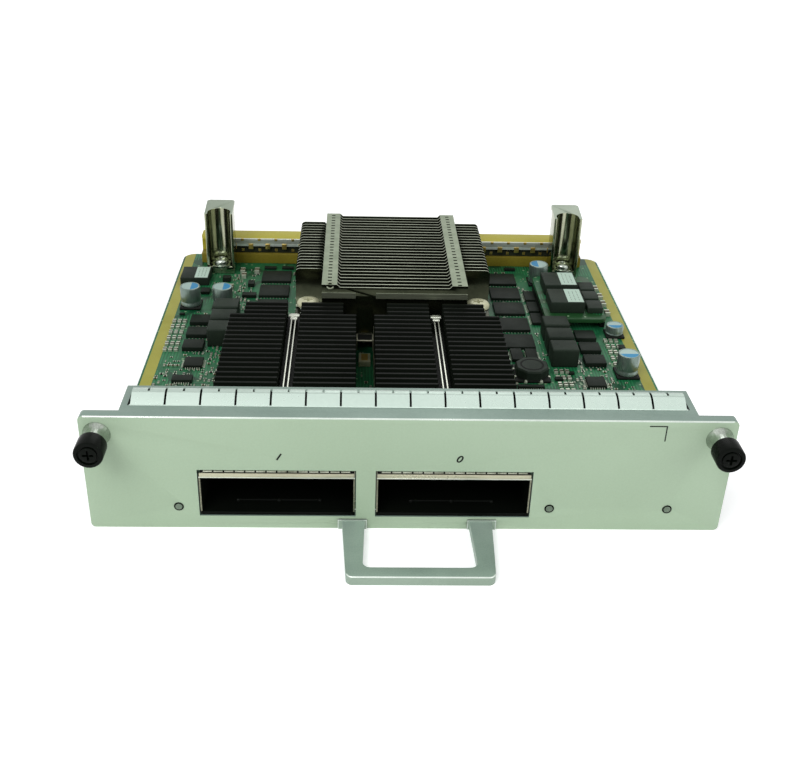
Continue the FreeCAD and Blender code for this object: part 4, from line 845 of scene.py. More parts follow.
def makeHandle(look):
    # the arms narrow from their flat feet to the bar, and the feet lie almost flush in the panel
    low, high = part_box("pull_handle")
    middle = (low.x + high.x) / 2
    face = inward(0)
    front = low.y + look["rimDepth"] * mm
    crest = spot(0, 0, look["crest"]).z
    proud = look["padProud"]

    def onRim(place):
        return (place.y < front and abs(place.z - crest) < 2 * levelReach * mm
                and abs(place.x - middle) < look["rimHalf"] * mm)
    handle = softCopy("pull_handle", look["edge"], segments=3, wide=(look["rim"], onRim), clamp=False)
    for vert in handle.data.vertices:
        deep = (face - vert.co.y) / mm
        aside = abs(vert.co.x - middle) / mm
        inBore = deep < look["boreDepth"] and look["bore"][0] < aside < look["bore"][1]
        if inBore and vert.co.z < look["boreTop"] * mm:
            continue
        vert.co.x = middle + math.copysign(armPlace(look, deep, aside) * mm, vert.co.x - middle)
        if deep < look["padDepth"] + look["edge"] + levelReach:
            vert.co.y = face - deep * proud / look["padDepth"] * mm
    handle.data.update()
    foot = face - (proud + look["footBand"]) * mm
    underside = look["lowBand"] * mm
    # painted light: the front faces in a second copy of the handle's finish, and painted highlights on the
    # bar's top front edge and on the feet's sides
    paintFaces(handle, [
        ("handleFront", lambda place, normal: normal.y < -0.5),
        ("panelEdge", lambda place, normal: normal.y < -0.2 and normal.z > 0.2 and place.z > underside),
        ("panelEdge", lambda place, normal: place.y > foot and normal.y < -0.1 and abs(normal.x) > 0.3)])
    # a painted highlight outlining each foot
    shape = bmesh.new()
    line = look["line"] * mm
    near = face - (proud + look["lineProud"]) * mm
    for sign in (-1, 1):
        left, right = sorted((middle + sign * (look["footInner"] + look["padInner"]) * mm,
                              middle + sign * (look["footOuter"] + look["padOuter"]) * mm))
        addBlock(shape, (left, near, 0), (left + line, face, high.z))
        addBlock(shape, (right - line, near, 0), (right, face, high.z))
        addBlock(shape, (left + line, near, high.z - line), (right - line, face, high.z))
    addShape(shape, "footOutlines", "handle_satin", "panelEdge")


fingerLook = {"count": 16, "bends": 16, "gap": 0.6, "notch": 4.9, "shade": 5.0, "lean": 1.25,
              "fullness": 0.8, "sheet": 0.22, "seat": 0.6, "hem": 0.5, "hemRise": 0.45, "rearHem": 0.35,
              "rearHemRise": 0.3, "recess": 0.12, "shadeSide": 0.35, "recessRear": 0.2,
              "cheek": (0.05, 0.45), "cheekFront": 0.3, "cheekRear": 0.1}


def makeFingers(look):
    # one arched finger, repeated along the flange between two folded hems
    low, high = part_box("emi_finger_strip")
    sheet, gap, hem, hemRise, rearHem, rearRise = sized(look, "sheet", "gap", "hem", "hemRise", "rearHem",
                                                        "rearHemRise")
    pitch = (high.x - low.x) / look["count"]
    half = (pitch - gap) / 2
    slit = gap / 2
    span = high.y - low.y
    rise = high.z - low.z - sheet
    shape = bmesh.new()
    rows = []
    for step in range(look["bends"] + 1):
        share = step / look["bends"]
        lift = abs(math.sin(math.pi * share ** look["lean"])) ** look["fullness"]
        rows.append([shape.verts.new((x, span * share, rise * lift)) for x in (-half, -slit, slit, half)])
    notchStart = 1.0 - look["notch"] * mm / span
    for step, (near, far) in enumerate(zip(rows, rows[1:])):
        for side in range(3):
            if side == 1 and step / look["bends"] >= notchStart:
                continue
            shape.faces.new([near[side], near[side + 1], far[side + 1], far[side]])
    thicken(shape, look["sheet"])
    start = (low.x + pitch / 2, low.y, low.z + sheet * look["seat"])
    mesh = growRow(shape, "springSteel", look["count"], start, pitch)
    strip = bmesh.new()
    addBlock(strip, low, (high.x, low.y + hem, low.z + hemRise))
    addBlock(strip, (low.x, high.y - rearHem, low.z), (high.x, high.y, low.z + rearRise))
    strip.from_mesh(mesh)
    for face in strip.faces:
        face.material_index = 0
    piece = addShape(strip, "fingerStrip", "spring_steel", "springSteel", replaced=("emi_finger_strip",),
                     angle=50)
    rear = high.y - look["shade"] * mm
    paintFaces(piece, [("springShade", lambda middle, normal: middle.y > rear)])
    # painted shadow: a black sheet under the fingers that shows through the slits, and black blocks past the
    # strip's ends
    shape = bmesh.new()
    deep, side, behind, front, back = sized(look, "recess", "shadeSide", "recessRear", "cheekFront",
                                            "cheekRear")
    floor = low.z + deep
    addBlock(shape, (low.x - side, low.y + side, low.z), (high.x + side, high.y + behind, floor))
    for x, outward in ((low.x, -1), (high.x, 1)):
        near, far = sorted(x + outward * reach * mm for reach in look["cheek"])
        addBlock(shape, (near, low.y + front, floor), (far, high.y + back, low.z + hemRise))
    addShape(shape, "stripRecess", "spring_steel", "pocketBlack")


# radii and heights in mm, the heights out of the panel's face
knobLook = {"radius": 4.0, "front": 10.8, "back": 5.2, "web": 9.2, "bore": 3.3, "edge": 0.5, "chamfer": 0.15,
            "ring": 2.9, "ringDepth": 0.5, "headRadius": 2.3, "crossReach": 1.9, "crossWidth": 0.8,
            "crossDepth": 0.9, "across": 85.3, "height": 31.2, "headGap": 0.1, "headEdge": 0.3,
            "roundShare": 0.3, "steps": 48, "sleeveSteps": 22, "sleeveCrease": 12}
sleeveProfile = ((1.55, -3.3), (3.0, -3.3), (3.0, 0), (3.85, 0), (3.85, 0.05), (3.7, 0.4), (3.45, 0.9),
                 (3.25, 1.5), (3.12, 2.0), (3.0, 3.0), (3.0, 5.4), (2.85, 5.6), (2.55, 5.6), (2.55, -2.3),
                 (1.55, -2.3), (1.55, -3.3))


def makeThumbScrews(look, sleeve):
    radius, front, back, edge = look["radius"], look["front"], look["back"], look["edge"]
    chamfer, bend, head = look["chamfer"], edge * look["roundShare"], look["headRadius"]
    floor = front - look["ringDepth"]
    knob = [(0, look["web"]), (look["bore"], look["web"]), (look["bore"], back), (radius - chamfer, back),
            (radius, back + chamfer), (radius, front - edge), (radius - bend, front - bend),
            (radius - edge, front), (look["ring"], front), (look["ring"] - chamfer, floor),
            (head + look["headGap"], floor), (head, front - chamfer), (head - look["headEdge"], front),
            (0, front)]
    for side, sign in (("left", -1), ("right", 1)):
        place = facingOut(sign * look["across"], 0, look["height"])
        shape = bmesh.new()
        addTurned(shape, knob, place, look["steps"])
        recess = facingOut(sign * look["across"], -front, look["height"])
        mesh = cutCross(meshFrom(shape, side + "Knob", "knobBlack"), recess, look["crossReach"],
                        look["crossWidth"], look["crossDepth"])
        addPiece(side + "Knob", mesh, (side + "_thumb_knob",), side + "_screw", 40)
        shape = bmesh.new()
        addTurned(shape, sleeve, place, look["sleeveSteps"])
        bmesh.ops.remove_doubles(shape, verts=shape.verts, dist=weldReach)
        addShape(shape, side + "Sleeve", "bright_steel", "brightSteel", replaced=(side + "_screw_ferrule",),
                 angle=look["sleeveCrease"])
        softCopies({side + "_screw_shaft": 0.1, side + "_retaining_ring": 0.1})


springLook = {"screwRadius": 2.1, "screwWire": 0.28, "screwTurns": 5.0, "screwSeat": 2.3, "screwKeep": 0.72,
              "stackRadius": 2.7, "stackWire": 0.4, "stackTurns": 3.0}


def makeCoil(look, family, length):
    wire = look[family + "Wire"] * mm
    return grow(coilTree, "brightSteel", {
        "Turns": look[family + "Turns"], "Radius": look[family + "Radius"] * mm,
        "Height": length - 2 * wire, "Wire": wire})


def makeSprings(look):
    for side in ("left", "right"):
        low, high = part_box(side + "_screw_spring")
        mesh = makeCoil(look, "screw", high.y - low.y)
        place = ((low.x + high.x) / 2, high.y - look["screwWire"] * mm, knobLook["height"] * mm)
        mesh.transform(Matrix.Translation(place) @ Matrix.Rotation(math.radians(90), 4, "X"))
        spring = addPiece(side + "ScrewCoil", mesh, (side + "_screw_spring",))
        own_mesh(spring)
    for number, (low, high) in enumerate(solidBoxes("heat_sink_springs")):
        mesh = makeCoil(look, "stack", high.z - low.z)
        middle = (low + high) / 2
        mesh.transform(Matrix.Translation((middle.x, middle.y, low.z + look["stackWire"] * mm)))
        addPiece("stackCoil%d" % number, mesh, ("heat_sink_springs",))


makePanel(panelLook)
makeHandle(handleLook)
makeFingers(fingerLook)
makeThumbScrews(knobLook, sleeveProfile)
makeSprings(springLook)
print("panel, handle and thumb screws made")


# lamps and ports

# the lens is in shares of the radius and of how far it stands out
lampLook = {"radius": 1.0, "rim": 1.4, "rimEdge": 0.05, "proud": 0.4, "pipe": 12.5, "seat": 0.12,
            "rimFoot": -0.4, "steps": 28, "lens": ((1, 0.4), (0.85, 0.75), (0.5, 0.95), (0, 1))}


def makeLamps(look):
    radius, proud, foot, seat, rim = (look[name] for name in ("radius", "proud", "rimFoot", "seat", "rim"))
    lens = [(0, -look["pipe"]), (radius, -look["pipe"])]
    lens += [(radius * wide, proud * tall) for wide, tall in look["lens"]]
    ring = [(radius, foot), (radius, seat), (rim - look["rimEdge"], seat), (rim, 0.0), (rim, foot),
            (radius, foot)]
    pipes = bmesh.new()
    rims = bmesh.new()
    for low, high in solidBoxes("light_pipes"):
        middle = (low + high) / 2
        place = facingOut(middle.x / mm, 0, middle.z / mm)
        addTurned(pipes, lens, place, look["steps"])
        addTurned(rims, ring, place, look["steps"])
    addShape(pipes, "lampLenses", "light_pipe", "lensGreen", replaced=("light_pipes",))
    addShape(rims, "lampRims", "lamp_body", "pocketBlack")


# the fingers' path is depth and height; the edge glints are painted highlights along the sheet edges of the
# cages beside the tie
portLook = {"wall": 0.4, "liner": 0.12, "length": 85.0, "inset": 0.08, "sill": 0.5,
            "ribWidth": 23.5, "ribDepth": 5.8, "ribSheet": 0.4, "ribHeight": 0.4, "ribEdge": 0.12,
            "ribSteps": 12,
            "ribEnd": ((0, 0), (0.5, 0), (0.5, 0.4), (0.3, 0.6), (0, 0.6)),
            "bandTop": 18.35, "crown": 19.65, "gasketDepth": 5.3, "bandMargin": 0.2, "bandSheet": 0.25,
            "bandLap": 0.1, "bandEdge": 0.08, "lipMargin": 0.02, "lipReach": 0.25, "lipBack": 0.15,
            "lipDrop": 0.45, "lipEdge": 0.12, "shadeSheet": 0.2, "sinkEdge": 0.16,
            "fingerCount": 14, "fingerPitch": 2.95, "fingerWidth": 2.5, "fingerSheet": 0.12,
            "fingerStart": 0.35,
            "fingerPath": ((0, 0.5), (0.1, 0.8), (0.4, 1.0), (1.1, 1.1), (3.4, 0.8), (4.9, 0.1)),
            "tieInset": 0.55, "tieSheet": 0.05, "edgeStart": 34, "edgeEnd": 64,
            "leftEdge": (0.3, 0.15), "rightEdge": (0.2, 0.1)}


def shadeMouth(shape, low, high, look):
    # painted shade: thin black sheets lining the cage, and a black sill below its mouth
    wall, thin, inset, length, sill = sized(look, "wall", "liner", "inset", "length", "sill")
    left, right = low.x + wall, high.x - wall
    foot, top = low.z + wall, high.z - wall
    near = low.y + inset
    far = near + length
    addBlock(shape, (left, near, foot), (right, far, foot + thin))
    addBlock(shape, (left, near, top - thin), (right, far, top))
    addBlock(shape, (left, near, foot + thin), (left + thin, far, top - thin))
    addBlock(shape, (right - thin, near, foot + thin), (right, far, top - thin))
    addBlock(shape, (low.x, low.y - thin, low.z - sill), (high.x, low.y, foot + thin))


def makeRib(shape, middle, floor, look):
    # the low rib across the port's floor, with a round post at its middle and ends
    half = look["ribWidth"] * mm / 2
    y = inward(look["ribDepth"])
    addBlock(shape, (middle - half, y, floor),
             (middle + half, y + look["ribSheet"] * mm, floor + look["ribHeight"] * mm), look["ribEdge"])
    for share in (-1, 0, 1):
        place = Matrix.Translation((middle + share * half, y, floor))
        addTurned(shape, look["ribEnd"], place, look["ribSteps"])


def makeGasket(name, bands, liners, low, high, look):
    # a folded band over the cage's mouth, a lip below it with a painted highlight, black sheets behind the
    # band and at its rear for painted shade, and a row of bowed fingers behind
    top = spot(0, 0, look["bandTop"]).z
    crown = spot(0, 0, look["crown"]).z
    margin, rear, sheet, lap, dark = sized(look, "bandMargin", "gasketDepth", "bandSheet", "bandLap",
                                           "shadeSheet")
    side, reach, back, drop = sized(look, "lipMargin", "lipReach", "lipBack", "lipDrop")
    addBlock(bands, (low.x + margin, low.y - lap, high.z - lap), (high.x - margin, low.y + sheet, top),
             look["bandEdge"])
    addBlock(bands, (low.x - side, low.y - reach, high.z - drop),
             (high.x + side, low.y + back, high.z - lap), look["lipEdge"], kind=1)
    addBlock(liners, (low.x + margin, low.y + sheet, top - 2 * dark),
             (high.x - margin, low.y + rear, top - dark))
    addBlock(liners, (low.x, low.y + rear, high.z), (high.x, low.y + rear + dark, crown))
    shape = bmesh.new()
    half = look["fingerWidth"] * mm / 2
    bridgeRows(shape, [[shape.verts.new((x, depth * mm, height * mm)) for x in (-half, half)]
                       for depth, height in look["fingerPath"]])
    thicken(shape, look["fingerSheet"])
    count, pitch = look["fingerCount"], look["fingerPitch"] * mm
    start = ((low.x + high.x) / 2 - (count - 1) * pitch / 2, inward(look["fingerStart"]), top)
    mesh = growRow(shape, "gasketFinger", count, start, pitch)
    addPiece(name + "GasketFingers", mesh, (name + "_port_gasket",))


def makePorts(look):
    liners = bmesh.new()
    ribs = bmesh.new()
    bands = bmesh.new()
    for side in ("left", "right"):
        low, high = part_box(side + "_port_cage")
        shadeMouth(liners, low, high, look)
        makeRib(ribs, (low.x + high.x) / 2, low.z + (look["wall"] + look["liner"]) * mm, look)
        makeGasket(side, bands, liners, low, high, look)
        softCopy(side + "_port_heat_sink", look["sinkEdge"], segments=1)
    # painted shade on the tie's top between the cages, and painted highlights along both cages' edges beside
    # it
    low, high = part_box("cage_tie")
    inset = look["tieInset"] * mm
    start, end = inward(look["edgeStart"]), inward(look["edgeEnd"])
    addBlock(liners, (low.x + inset, low.y + inset, high.z),
             (high.x - inset, high.y - inset, high.z + look["tieSheet"] * mm))
    wide, tall = look["leftEdge"]
    addBlock(bands, (high.x, start, high.z), (high.x + wide * mm, low.y, high.z + tall * mm))
    wide, tall = look["rightEdge"]
    addBlock(bands, (low.x - wide * mm, start, high.z), (low.x, end, high.z + tall * mm))
    addShape(liners, "portLiners", "socket_black", "pocketBlack")
    addShape(ribs, "portRibs", "socket_black", "socketBlack")
    addShape(bands, "gasketBands", "spring_steel", "gasketSteel", "panelEdge")


clipLook = {"wire": 0.42, "spacing": 1.35, "sheet": 0.5, "headWidth": 3.8, "headLength": 3.6,
            "headNeck": 1.6, "headRise": 0.1, "neck": 2.4, "neckStart": 0.6, "wireEdge": 0.1,
            "headEdge": 0.15, "neckEdge": 0.12}


def makeClips(look):
    # two sprung wires down the channel of each sink, joined by a wide head at the rear
    shape = bmesh.new()
    sheet, wide, head, stem, length, headNeck, rise, early = sized(
        look, "sheet", "wire", "headWidth", "neck", "headLength", "headNeck", "headRise", "neckStart")
    wire, half, neck = wide / 2, head / 2, stem / 2
    wireEdge, neckEdge = look["wireEdge"], look["neckEdge"]
    for low, high in solidBoxes("heat_sink_clips"):
        middle = (low.x + high.x) / 2
        plate = high.z - sheet
        headEnd = high.y - sheet
        headStart = headEnd - length
        shoulder = headStart + headNeck
        for sign in (-1, 1):
            x = middle + sign * look["spacing"] * mm / 2
            addBlock(shape, (x - wire, low.y + sheet, plate), (x + wire, headStart, high.z), wireEdge)
            addBlock(shape, (x - wire, low.y, low.z), (x + wire, low.y + sheet, high.z), wireEdge)
        addBlock(shape, (middle - half, shoulder, plate), (middle + half, headEnd, high.z + rise),
                 look["headEdge"])
        addBlock(shape, (middle - neck, headStart - early, plate), (middle + neck, shoulder, high.z),
                 neckEdge)
        addBlock(shape, (middle - neck, headEnd, low.z), (middle + neck, high.y, high.z), neckEdge)
    addShape(shape, "sinkClips", "spring_steel", "clipSteel", replaced=("heat_sink_clips",))


makeLamps(lampLook)
makePorts(portLook)
makeClips(clipLook)
softCopies({"cage_tie": 0.12, "status_lamps": 0.3})
print("lamps and ports made")


# screws with cross recesses

# the dome's curve is in shares of the radius and of its height, from its rim to its top
screwLook = {
    "heat_sink_screws": {"radius": 4.25, "dome": 2.2, "cross": 2.2, "width": 1.1, "depth": 1.2, "up": True},
    "guide_screws": {"radius": 2.9, "dome": 2.2, "cross": 1.7, "width": 0.9, "depth": 1.2, "up": True},
    "board_screws": {"radius": 2.6, "dome": 1.6, "cross": 1.5, "width": 0.8, "depth": 0.9, "up": False},
    "shank": 1.5, "tip": 1.3, "chamfer": 0.25, "headChamfer": 0.15, "steps": 36,
    "curve": ((1, 0.55), (0.9, 0.26), (0.68, 0.08), (0.4, 0.015)),
}


def makeScrewHeads(node, look, shared):
    radius, dome = look["radius"], look["dome"]
    shank, chamfer, headChamfer = shared["shank"], shared["chamfer"], shared["headChamfer"]
    joined = bmesh.new()
    for low, high in solidBoxes(node):
        middle = (low + high) / 2
        length = (high.z - low.z) / mm
        if look["up"]:
            place = Matrix.Translation((middle.x, middle.y, high.z))
        else:
            place = Matrix.Translation((middle.x, middle.y, low.z)) @ Matrix.Rotation(math.pi, 4, "X")
        profile = [(0, -length), (shared["tip"], -length), (shank, chamfer - length), (shank, -dome),
                   (radius - headChamfer, -dome), (radius, headChamfer - dome)]
        profile += [(radius * wide, -dome * drop) for wide, drop in shared["curve"]] + [(0, 0)]
        shape = bmesh.new()
        addTurned(shape, profile, place, shared["steps"])
        mesh = meshFrom(shape, node, finishOf[node])
        joined.from_mesh(cutCross(mesh, place, look["cross"], look["width"], look["depth"]))
    name = "crossed_" + node
    mesh = bpy.data.meshes.new(name)
    joined.to_mesh(mesh)
    joined.free()
    mesh.materials.append(finishes[finishOf[node]])
    addPiece(name, mesh, (node,), angle=40)


for node in ("heat_sink_screws", "guide_screws", "board_screws"):
    makeScrewHeads(node, screwLook[node], screwLook)
print("screws made")


# fin stack trim

stackLook = {"eyeX": -24.6, "eyeY": 101.0, "eyeZ": 30.4, "eyeLean": 50, "eyeRadius": 1.15, "eyeWire": 0.42,
             "eyeSteps": 12, "ringSteps": 28, "core": 26.0, "band": 20.4, "bandDepth": 0.1, "front": 100.5,
             "shoulderFront": 123.2, "reach": 0.3, "baseEdge": 0.1}


def makeEyelet(look):
    # the rolled ring on the left band's front end
    place = Matrix.Translation(spot(look["eyeX"], look["eyeY"], look["eyeZ"]))
    wire = look["eyeWire"]
    profile = []
    for step in range(look["eyeSteps"] + 1):
        angle = 2 * math.pi * step / look["eyeSteps"]
        profile.append((look["eyeRadius"] + wire * math.cos(angle), wire * math.sin(angle)))
    shape = bmesh.new()
    lean = Matrix.Rotation(math.radians(look["eyeLean"]), 4, "X")
    addTurned(shape, profile, place @ lean, look["ringSteps"])
    bmesh.ops.remove_doubles(shape, verts=shape.verts, dist=weldReach / 2)
    addShape(shape, "finEyelet", "fin_aluminium", "finAluminium")


def makeFins(look):
    # painted highlights on the folded fins' upward faces, painted shade on their sides, pale bands, and dark
    # polished fronts with painted shade
    low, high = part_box("fin_stack")
    middle = (low.x + high.x) / 2
    core, band, reach = sized(look, "core", "band", "reach")
    front, shoulder = inward(look["front"]), inward(look["shoulderFront"])
    top = high.z - look["bandDepth"] * mm

    def onBand(place, normal):
        return normal.z > 0.5 and place.z > top and band < abs(place.x - middle) < core

    def onFront(start):
        return lambda place, normal: normal.y < -0.9 and abs(place.y - start) < reach
    paintFaces(softCopy("fin_stack", 0, kind="finFace"), [
        ("finEdge", lambda place, normal: normal.z > 0.3), ("finBand", onBand),
        ("finFront", onFront(shoulder)), ("finFront", onFront(front)),
        ("finAluminium", lambda place, normal: place.y < front - reach)])
    # the base in the same dark polished finish, for painted shade
    softCopy("fin_stack_base", look["baseEdge"], kind="finFront")


makeEyelet(stackLook)
makeFins(stackLook)


# guides and rear beam

guideLook = {"edge": 0.3, "hoodStart": 175.4, "hoodEnd": 179.2, "rim": 0.6, "rimDrop": 1.6, "crown": 0.3,
             "creaseAngle": 40}


def makeGuides(look):
    start, end = inward(look["hoodStart"]), inward(look["hoodEnd"])
    rim, drop = sized(look, "rim", "rimDrop")
    for side in ("left", "right"):
        # the pale hood slopes down from its rear edge to the rim of the trough
        guide = softCopy(side + "_guide", look["edge"], segments=3)
        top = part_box(side + "_guide")[1].z
        for vert in guide.data.vertices:
            if vert.co.z > top - rim:
                vert.co.z -= drop * min(max((end - vert.co.y) / (end - start), 0), 1)
        guide.data.update()
        crown = top - (look["rimDrop"] + look["crown"]) * mm
        paintFaces(guide, [("guideHood", lambda place, normal: place.z > crown and normal.z > 0.6)])
        guide.data.set_sharp_from_angle(angle=math.radians(look["creaseAngle"]))
    softCopies({"guide_washers": 0.12, "guide_nuts": 0.2})


beamLook = {"edge": 0.25, "sill": 12, "pitch": 7.1, "count": 21, "bumpWidth": 1.3, "bumpDrop": 1.0,
            "bumpRise": 0.1, "bumpDepth": (-0.12, 0.3), "bumpEdge": 0.2, "dotSize": 1.2,
            "dotDepth": (-0.15, 0.05), "dotEdge": 0.1, "glintLow": 12.7, "glintHigh": 13.7,
            "glintSheet": 0.08}


def makeBeam(look):
    sill = spot(0, 0, look["sill"]).z
    # painted shade: the beam's faces below the sill in a darker copy of its yellow
    paintFaces(softCopy("rear_beam", look["edge"]),
               [("beamDark", lambda middle, normal: middle.z < sill)])
    softCopies({"ground_rail": 0.15, "ground_lugs": 0.1})
    # small gold spots between the rail's lugs: along its top edge and in the dark groove below it
    low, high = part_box("ground_rail")
    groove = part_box("signal_block")
    count = look["count"]
    pitch, bumpWidth, drop, rise, dotSize = sized(look, "pitch", "bumpWidth", "bumpDrop", "bumpRise",
                                                  "dotSize")
    first = -(count - 1) * pitch / 2
    bump = bmesh.new()
    half = bumpWidth / 2
    near, far = look["bumpDepth"]
    addBlock(bump, (-half, near * mm, -drop), (half, far * mm, rise), look["bumpEdge"])
    dot = bmesh.new()
    half = dotSize / 2
    near, far = look["dotDepth"]
    addBlock(dot, (-half, near * mm, -half), (half, far * mm, half), look["dotEdge"])
    sets = (("railBumps", bump, (first, low.y, high.z)),
            ("signalContacts", dot, (first, groove[0].y, (groove[0].z + groove[1].z) / 2)))
    for name, shape, start in sets:
        addPiece(name, growRow(shape, "contactGold", count, start, pitch))
    glint = bmesh.new()
    addBlock(glint, (low.x, low.y - look["glintSheet"] * mm, look["glintLow"] * mm),
             (high.x, low.y, look["glintHigh"] * mm))
    addShape(glint, "railGlint", "rail_grey", "panelEdge")


makeGuides(guideLook)
makeBeam(beamLook)
print("guides and beam made")


# capacitors and inductors

canLook = {"edge": 0.45, "foot": 0.2, "groove": 0.25, "grooveShares": (0.14, 0.2, 0.25, 0.31), "dish": 0.12,
           "dishEdge": (0.1, 0.25), "roundShare": 0.3, "segment": 0.12, "segmentInset": 0.3,
           "segmentSteps": 16, "raise": 0.02, "paint": 0.03, "rearStart": 140, "steps": 40}


def canProfile(look, radius, tall):
    edge, foot = look["edge"], look["foot"]
    slim = radius - look["groove"]
    low, inLow, inHigh, high = (tall * share for share in look["grooveShares"])
    floor = tall - look["dish"]
    bend = edge * look["roundShare"]
    lip, slope = look["dishEdge"]
    return [(0, 0), (radius - foot, 0), (radius, foot), (radius, low), (slim, inLow), (slim, inHigh),
            (radius, high), (radius, tall - edge), (radius - bend, tall - bend), (radius - edge, tall),
            (radius - edge - lip, tall), (radius - edge - slope, floor), (0, floor)]


def makeCans(look):
    cans = bmesh.new()
    marks = bmesh.new()
    for low, high in solidBoxes("capacitors"):
        middle = (low + high) / 2
        radius = (high.x - low.x) / 2 / mm
        profile = canProfile(look, radius, (high.z - low.z) / mm)
        addTurned(cans, profile, Matrix.Translation((middle.x, middle.y, low.z)), look["steps"])
        # the coloured part of the top: to the right on the left side, else to the left or to the front
        if middle.x < 0:
            facing = 0.0
        else:
            facing = math.pi if middle.y > inward(look["rearStart"]) else -math.pi / 2
        reach = (radius - look["edge"] - look["segmentInset"]) * mm
        half = math.acos(look["segment"])
        steps = look["segmentSteps"]
        z = high.z + (look["raise"] - look["dish"]) * mm
        rim = []
        for step in range(steps + 1):
            angle = facing - half + 2 * half * step / steps
            rim.append((middle.x + reach * math.cos(angle), middle.y + reach * math.sin(angle)))
        rows = [[marks.verts.new((x, y, height)) for x, y in rim] for height in (z, z - look["paint"] * mm)]
        marks.faces.new(rows[0])
        marks.faces.new(rows[1][::-1])
        bridgeRows(marks, rows, closed=True)
    shells = addShape(cans, "canShells", "can_aluminium", "canAluminium", replaced=("capacitors",))
    paintFaces(shells, [("canTop", lambda place, normal: normal.z > 0.95)])
    addShape(marks, "canMarks", "can_aluminium", "canBlue")


drumLook = {"sides": 8, "edge": 0.5, "core": 3.6, "coreSteps": 36, "ring": 4.3, "ringGap": 0.1,
            "ringRise": 0.05, "sunk": 0.25, "blobReach": 0.35, "blobDrop": 0.9, "blobSteps": 10,
            "blob": ((0, 0), (0.7, 0), (0.65, 0.6), (0.4, 1.0), (0, 1.15)),
            "blobTurns": (-155, 155, -25, 25, -65, 65, 115, -115)}


def makeDrum(look):
    low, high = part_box("round_inductor")
    middle = (low + high) / 2
    radius = (high.x - low.x) / 2 / mm
    tall = (high.z - low.z) / mm
    sides, edge, ring, core = look["sides"], look["edge"], look["ring"], look["core"]
    place = Matrix.Translation((middle.x, middle.y, low.z)) @ Matrix.Rotation(math.pi / sides, 4, "Z")
    shape = bmesh.new()
    rim = [(0, 0), (radius, 0), (radius, tall - edge), (radius - edge, tall), (ring, tall)]
    addTurned(shape, rim, place, sides)
    top = [vert for vert in shape.verts if vert.co.z > high.z - levelReach * mm]
    shape.faces.new(top[-sides:])
    gap, crest, floor = look["ringGap"], tall + look["ringRise"], tall - look["sunk"]
    winding = [(0, 0), (ring - gap, 0), (ring - gap, crest), (core, crest), (core - gap, floor), (0, floor)]
    addTurned(shape, winding, place, look["coreSteps"], kind=1)
    reach = (radius + look["blobReach"]) * mm
    for turn in look["blobTurns"]:
        angle = math.radians(turn)
        foot = (middle.x + reach * math.cos(angle), middle.y + reach * math.sin(angle),
                low.z - look["blobDrop"] * mm)
        addTurned(shape, look["blob"], Matrix.Translation(foot), look["blobSteps"], kind=2)
    addShape(shape, "drumInductor", "ferrite", "ferrite", "pocketBlack", "partEnds",
             replaced=("round_inductor",), angle=30)


makeCans(canLook)
makeDrum(drumLook)
softCopies({"block_inductors": 0.6, "power_brick": 0.3, "riser_power_modules": 0.35, "riser_components": 0.3,
            "memory_chips": 0.15, "logic_chips": 0.15, "power_stages": 0.15, "component_bases": 0.35,
            "power_riser_board": 0.1})
print("power parts made")


# labels

labelLook = {"share": 0.5, "margin": 0.5, "sheet": 0.08, "lines": 3, "bar": 0.22, "barRise": 1.2,
             "barLength": (0.08, 0.22), "barGap": 0.06, "start": 0.12, "end": 0.2, "seed": 4}


def makeLabels(look):
    # a pale label on the right half of each module's top, with faint bars where its small print would be
    shape = bmesh.new()
    chance = random.Random(look["seed"])
    sheet, margin, bar = sized(look, "sheet", "margin", "bar")
    half = bar / 2
    for node in ("power_brick", "riser_power_modules"):
        for low, high in solidBoxes(node):
            start = low.x + (high.x - low.x) * look["share"]
            addBlock(shape, (start, low.y + margin, high.z - sheet),
                     (high.x - margin, high.y - margin, high.z + sheet))
            wide = high.x - margin - start
            deep = high.y - low.y - 2 * margin
            for line in range(look["lines"]):
                x = start + wide * (line + 1) / (look["lines"] + 1)
                y = low.y + margin + deep * look["start"]
                while y < high.y - margin - deep * look["end"]:
                    length = deep * chance.uniform(*look["barLength"])
                    addBlock(shape, (x - half, y, high.z),
                             (x + half, y + length, high.z + look["barRise"] * sheet), kind=1)
                    y += length + deep * look["barGap"]
    addShape(shape, "moduleLabels", "passive_tan", "labelMint", "labelGrey")


makeLabels(labelLook)


# legs, small parts and their solder

# chips that no solid has: x, y, width, length and height in mm
boardChips = {
    "legged": ((-75.1, 76.6, 7.0, 3.9, 1.4), (45.5, 73.5, 9.4, 1.6, 1.3)),
    "plain": ((-58.4, 156.8, 2.6, 3.8, 1.7), (-68.9, 161.2, 3.2, 3.0, 2.0), (-76.2, 149.6, 3.6, 4.4, 1.3),
              (-58.3, 146.0, 5.6, 3.0, 1.4), (50.4, 175.6, 4.6, 1.8, 1.2), (-51.8, 174.0, 5.0, 2.0, 1.0),
              (-44.4, 174.2, 5.0, 2.0, 1.0), (-60.5, 98.0, 2.6, 2.0, 1.0), (56.2, 79.6, 2.8, 1.9, 1.0),
              (83.6, 103.8, 2.4, 3.0, 1.2), (-82.6, 128.6, 2.0, 1.4, 0.8), (61.4, 84.0, 2.0, 1.6, 0.9)),
    "foot": 0.12, "edge": 0.15,
}
legLook = {"width": 0.3, "root": 0.1, "reach": 0.6, "foot": 0.3, "sheet": 0.14, "lift": 0.5,
           "bendStart": 0.35, "bendEnd": 0.55, "pitch": 0.95, "quadPitch": 0.8, "margin": 0.6,
           "squareSlack": 0.5, "seed": 3}
padLook = {"pitch": 1.25, "size": 0.34, "start": 0.3, "length": 1.3, "height": 0.25, "edge": 0.08,
           "skew": 0.06, "seed": 8}
boardTop = 4.8


def chipBox(chip, foot, top):
    x, y, width, length = chip[:4]
    return spot(x - width / 2, y - length / 2, foot), spot(x + width / 2, y + length / 2, top)


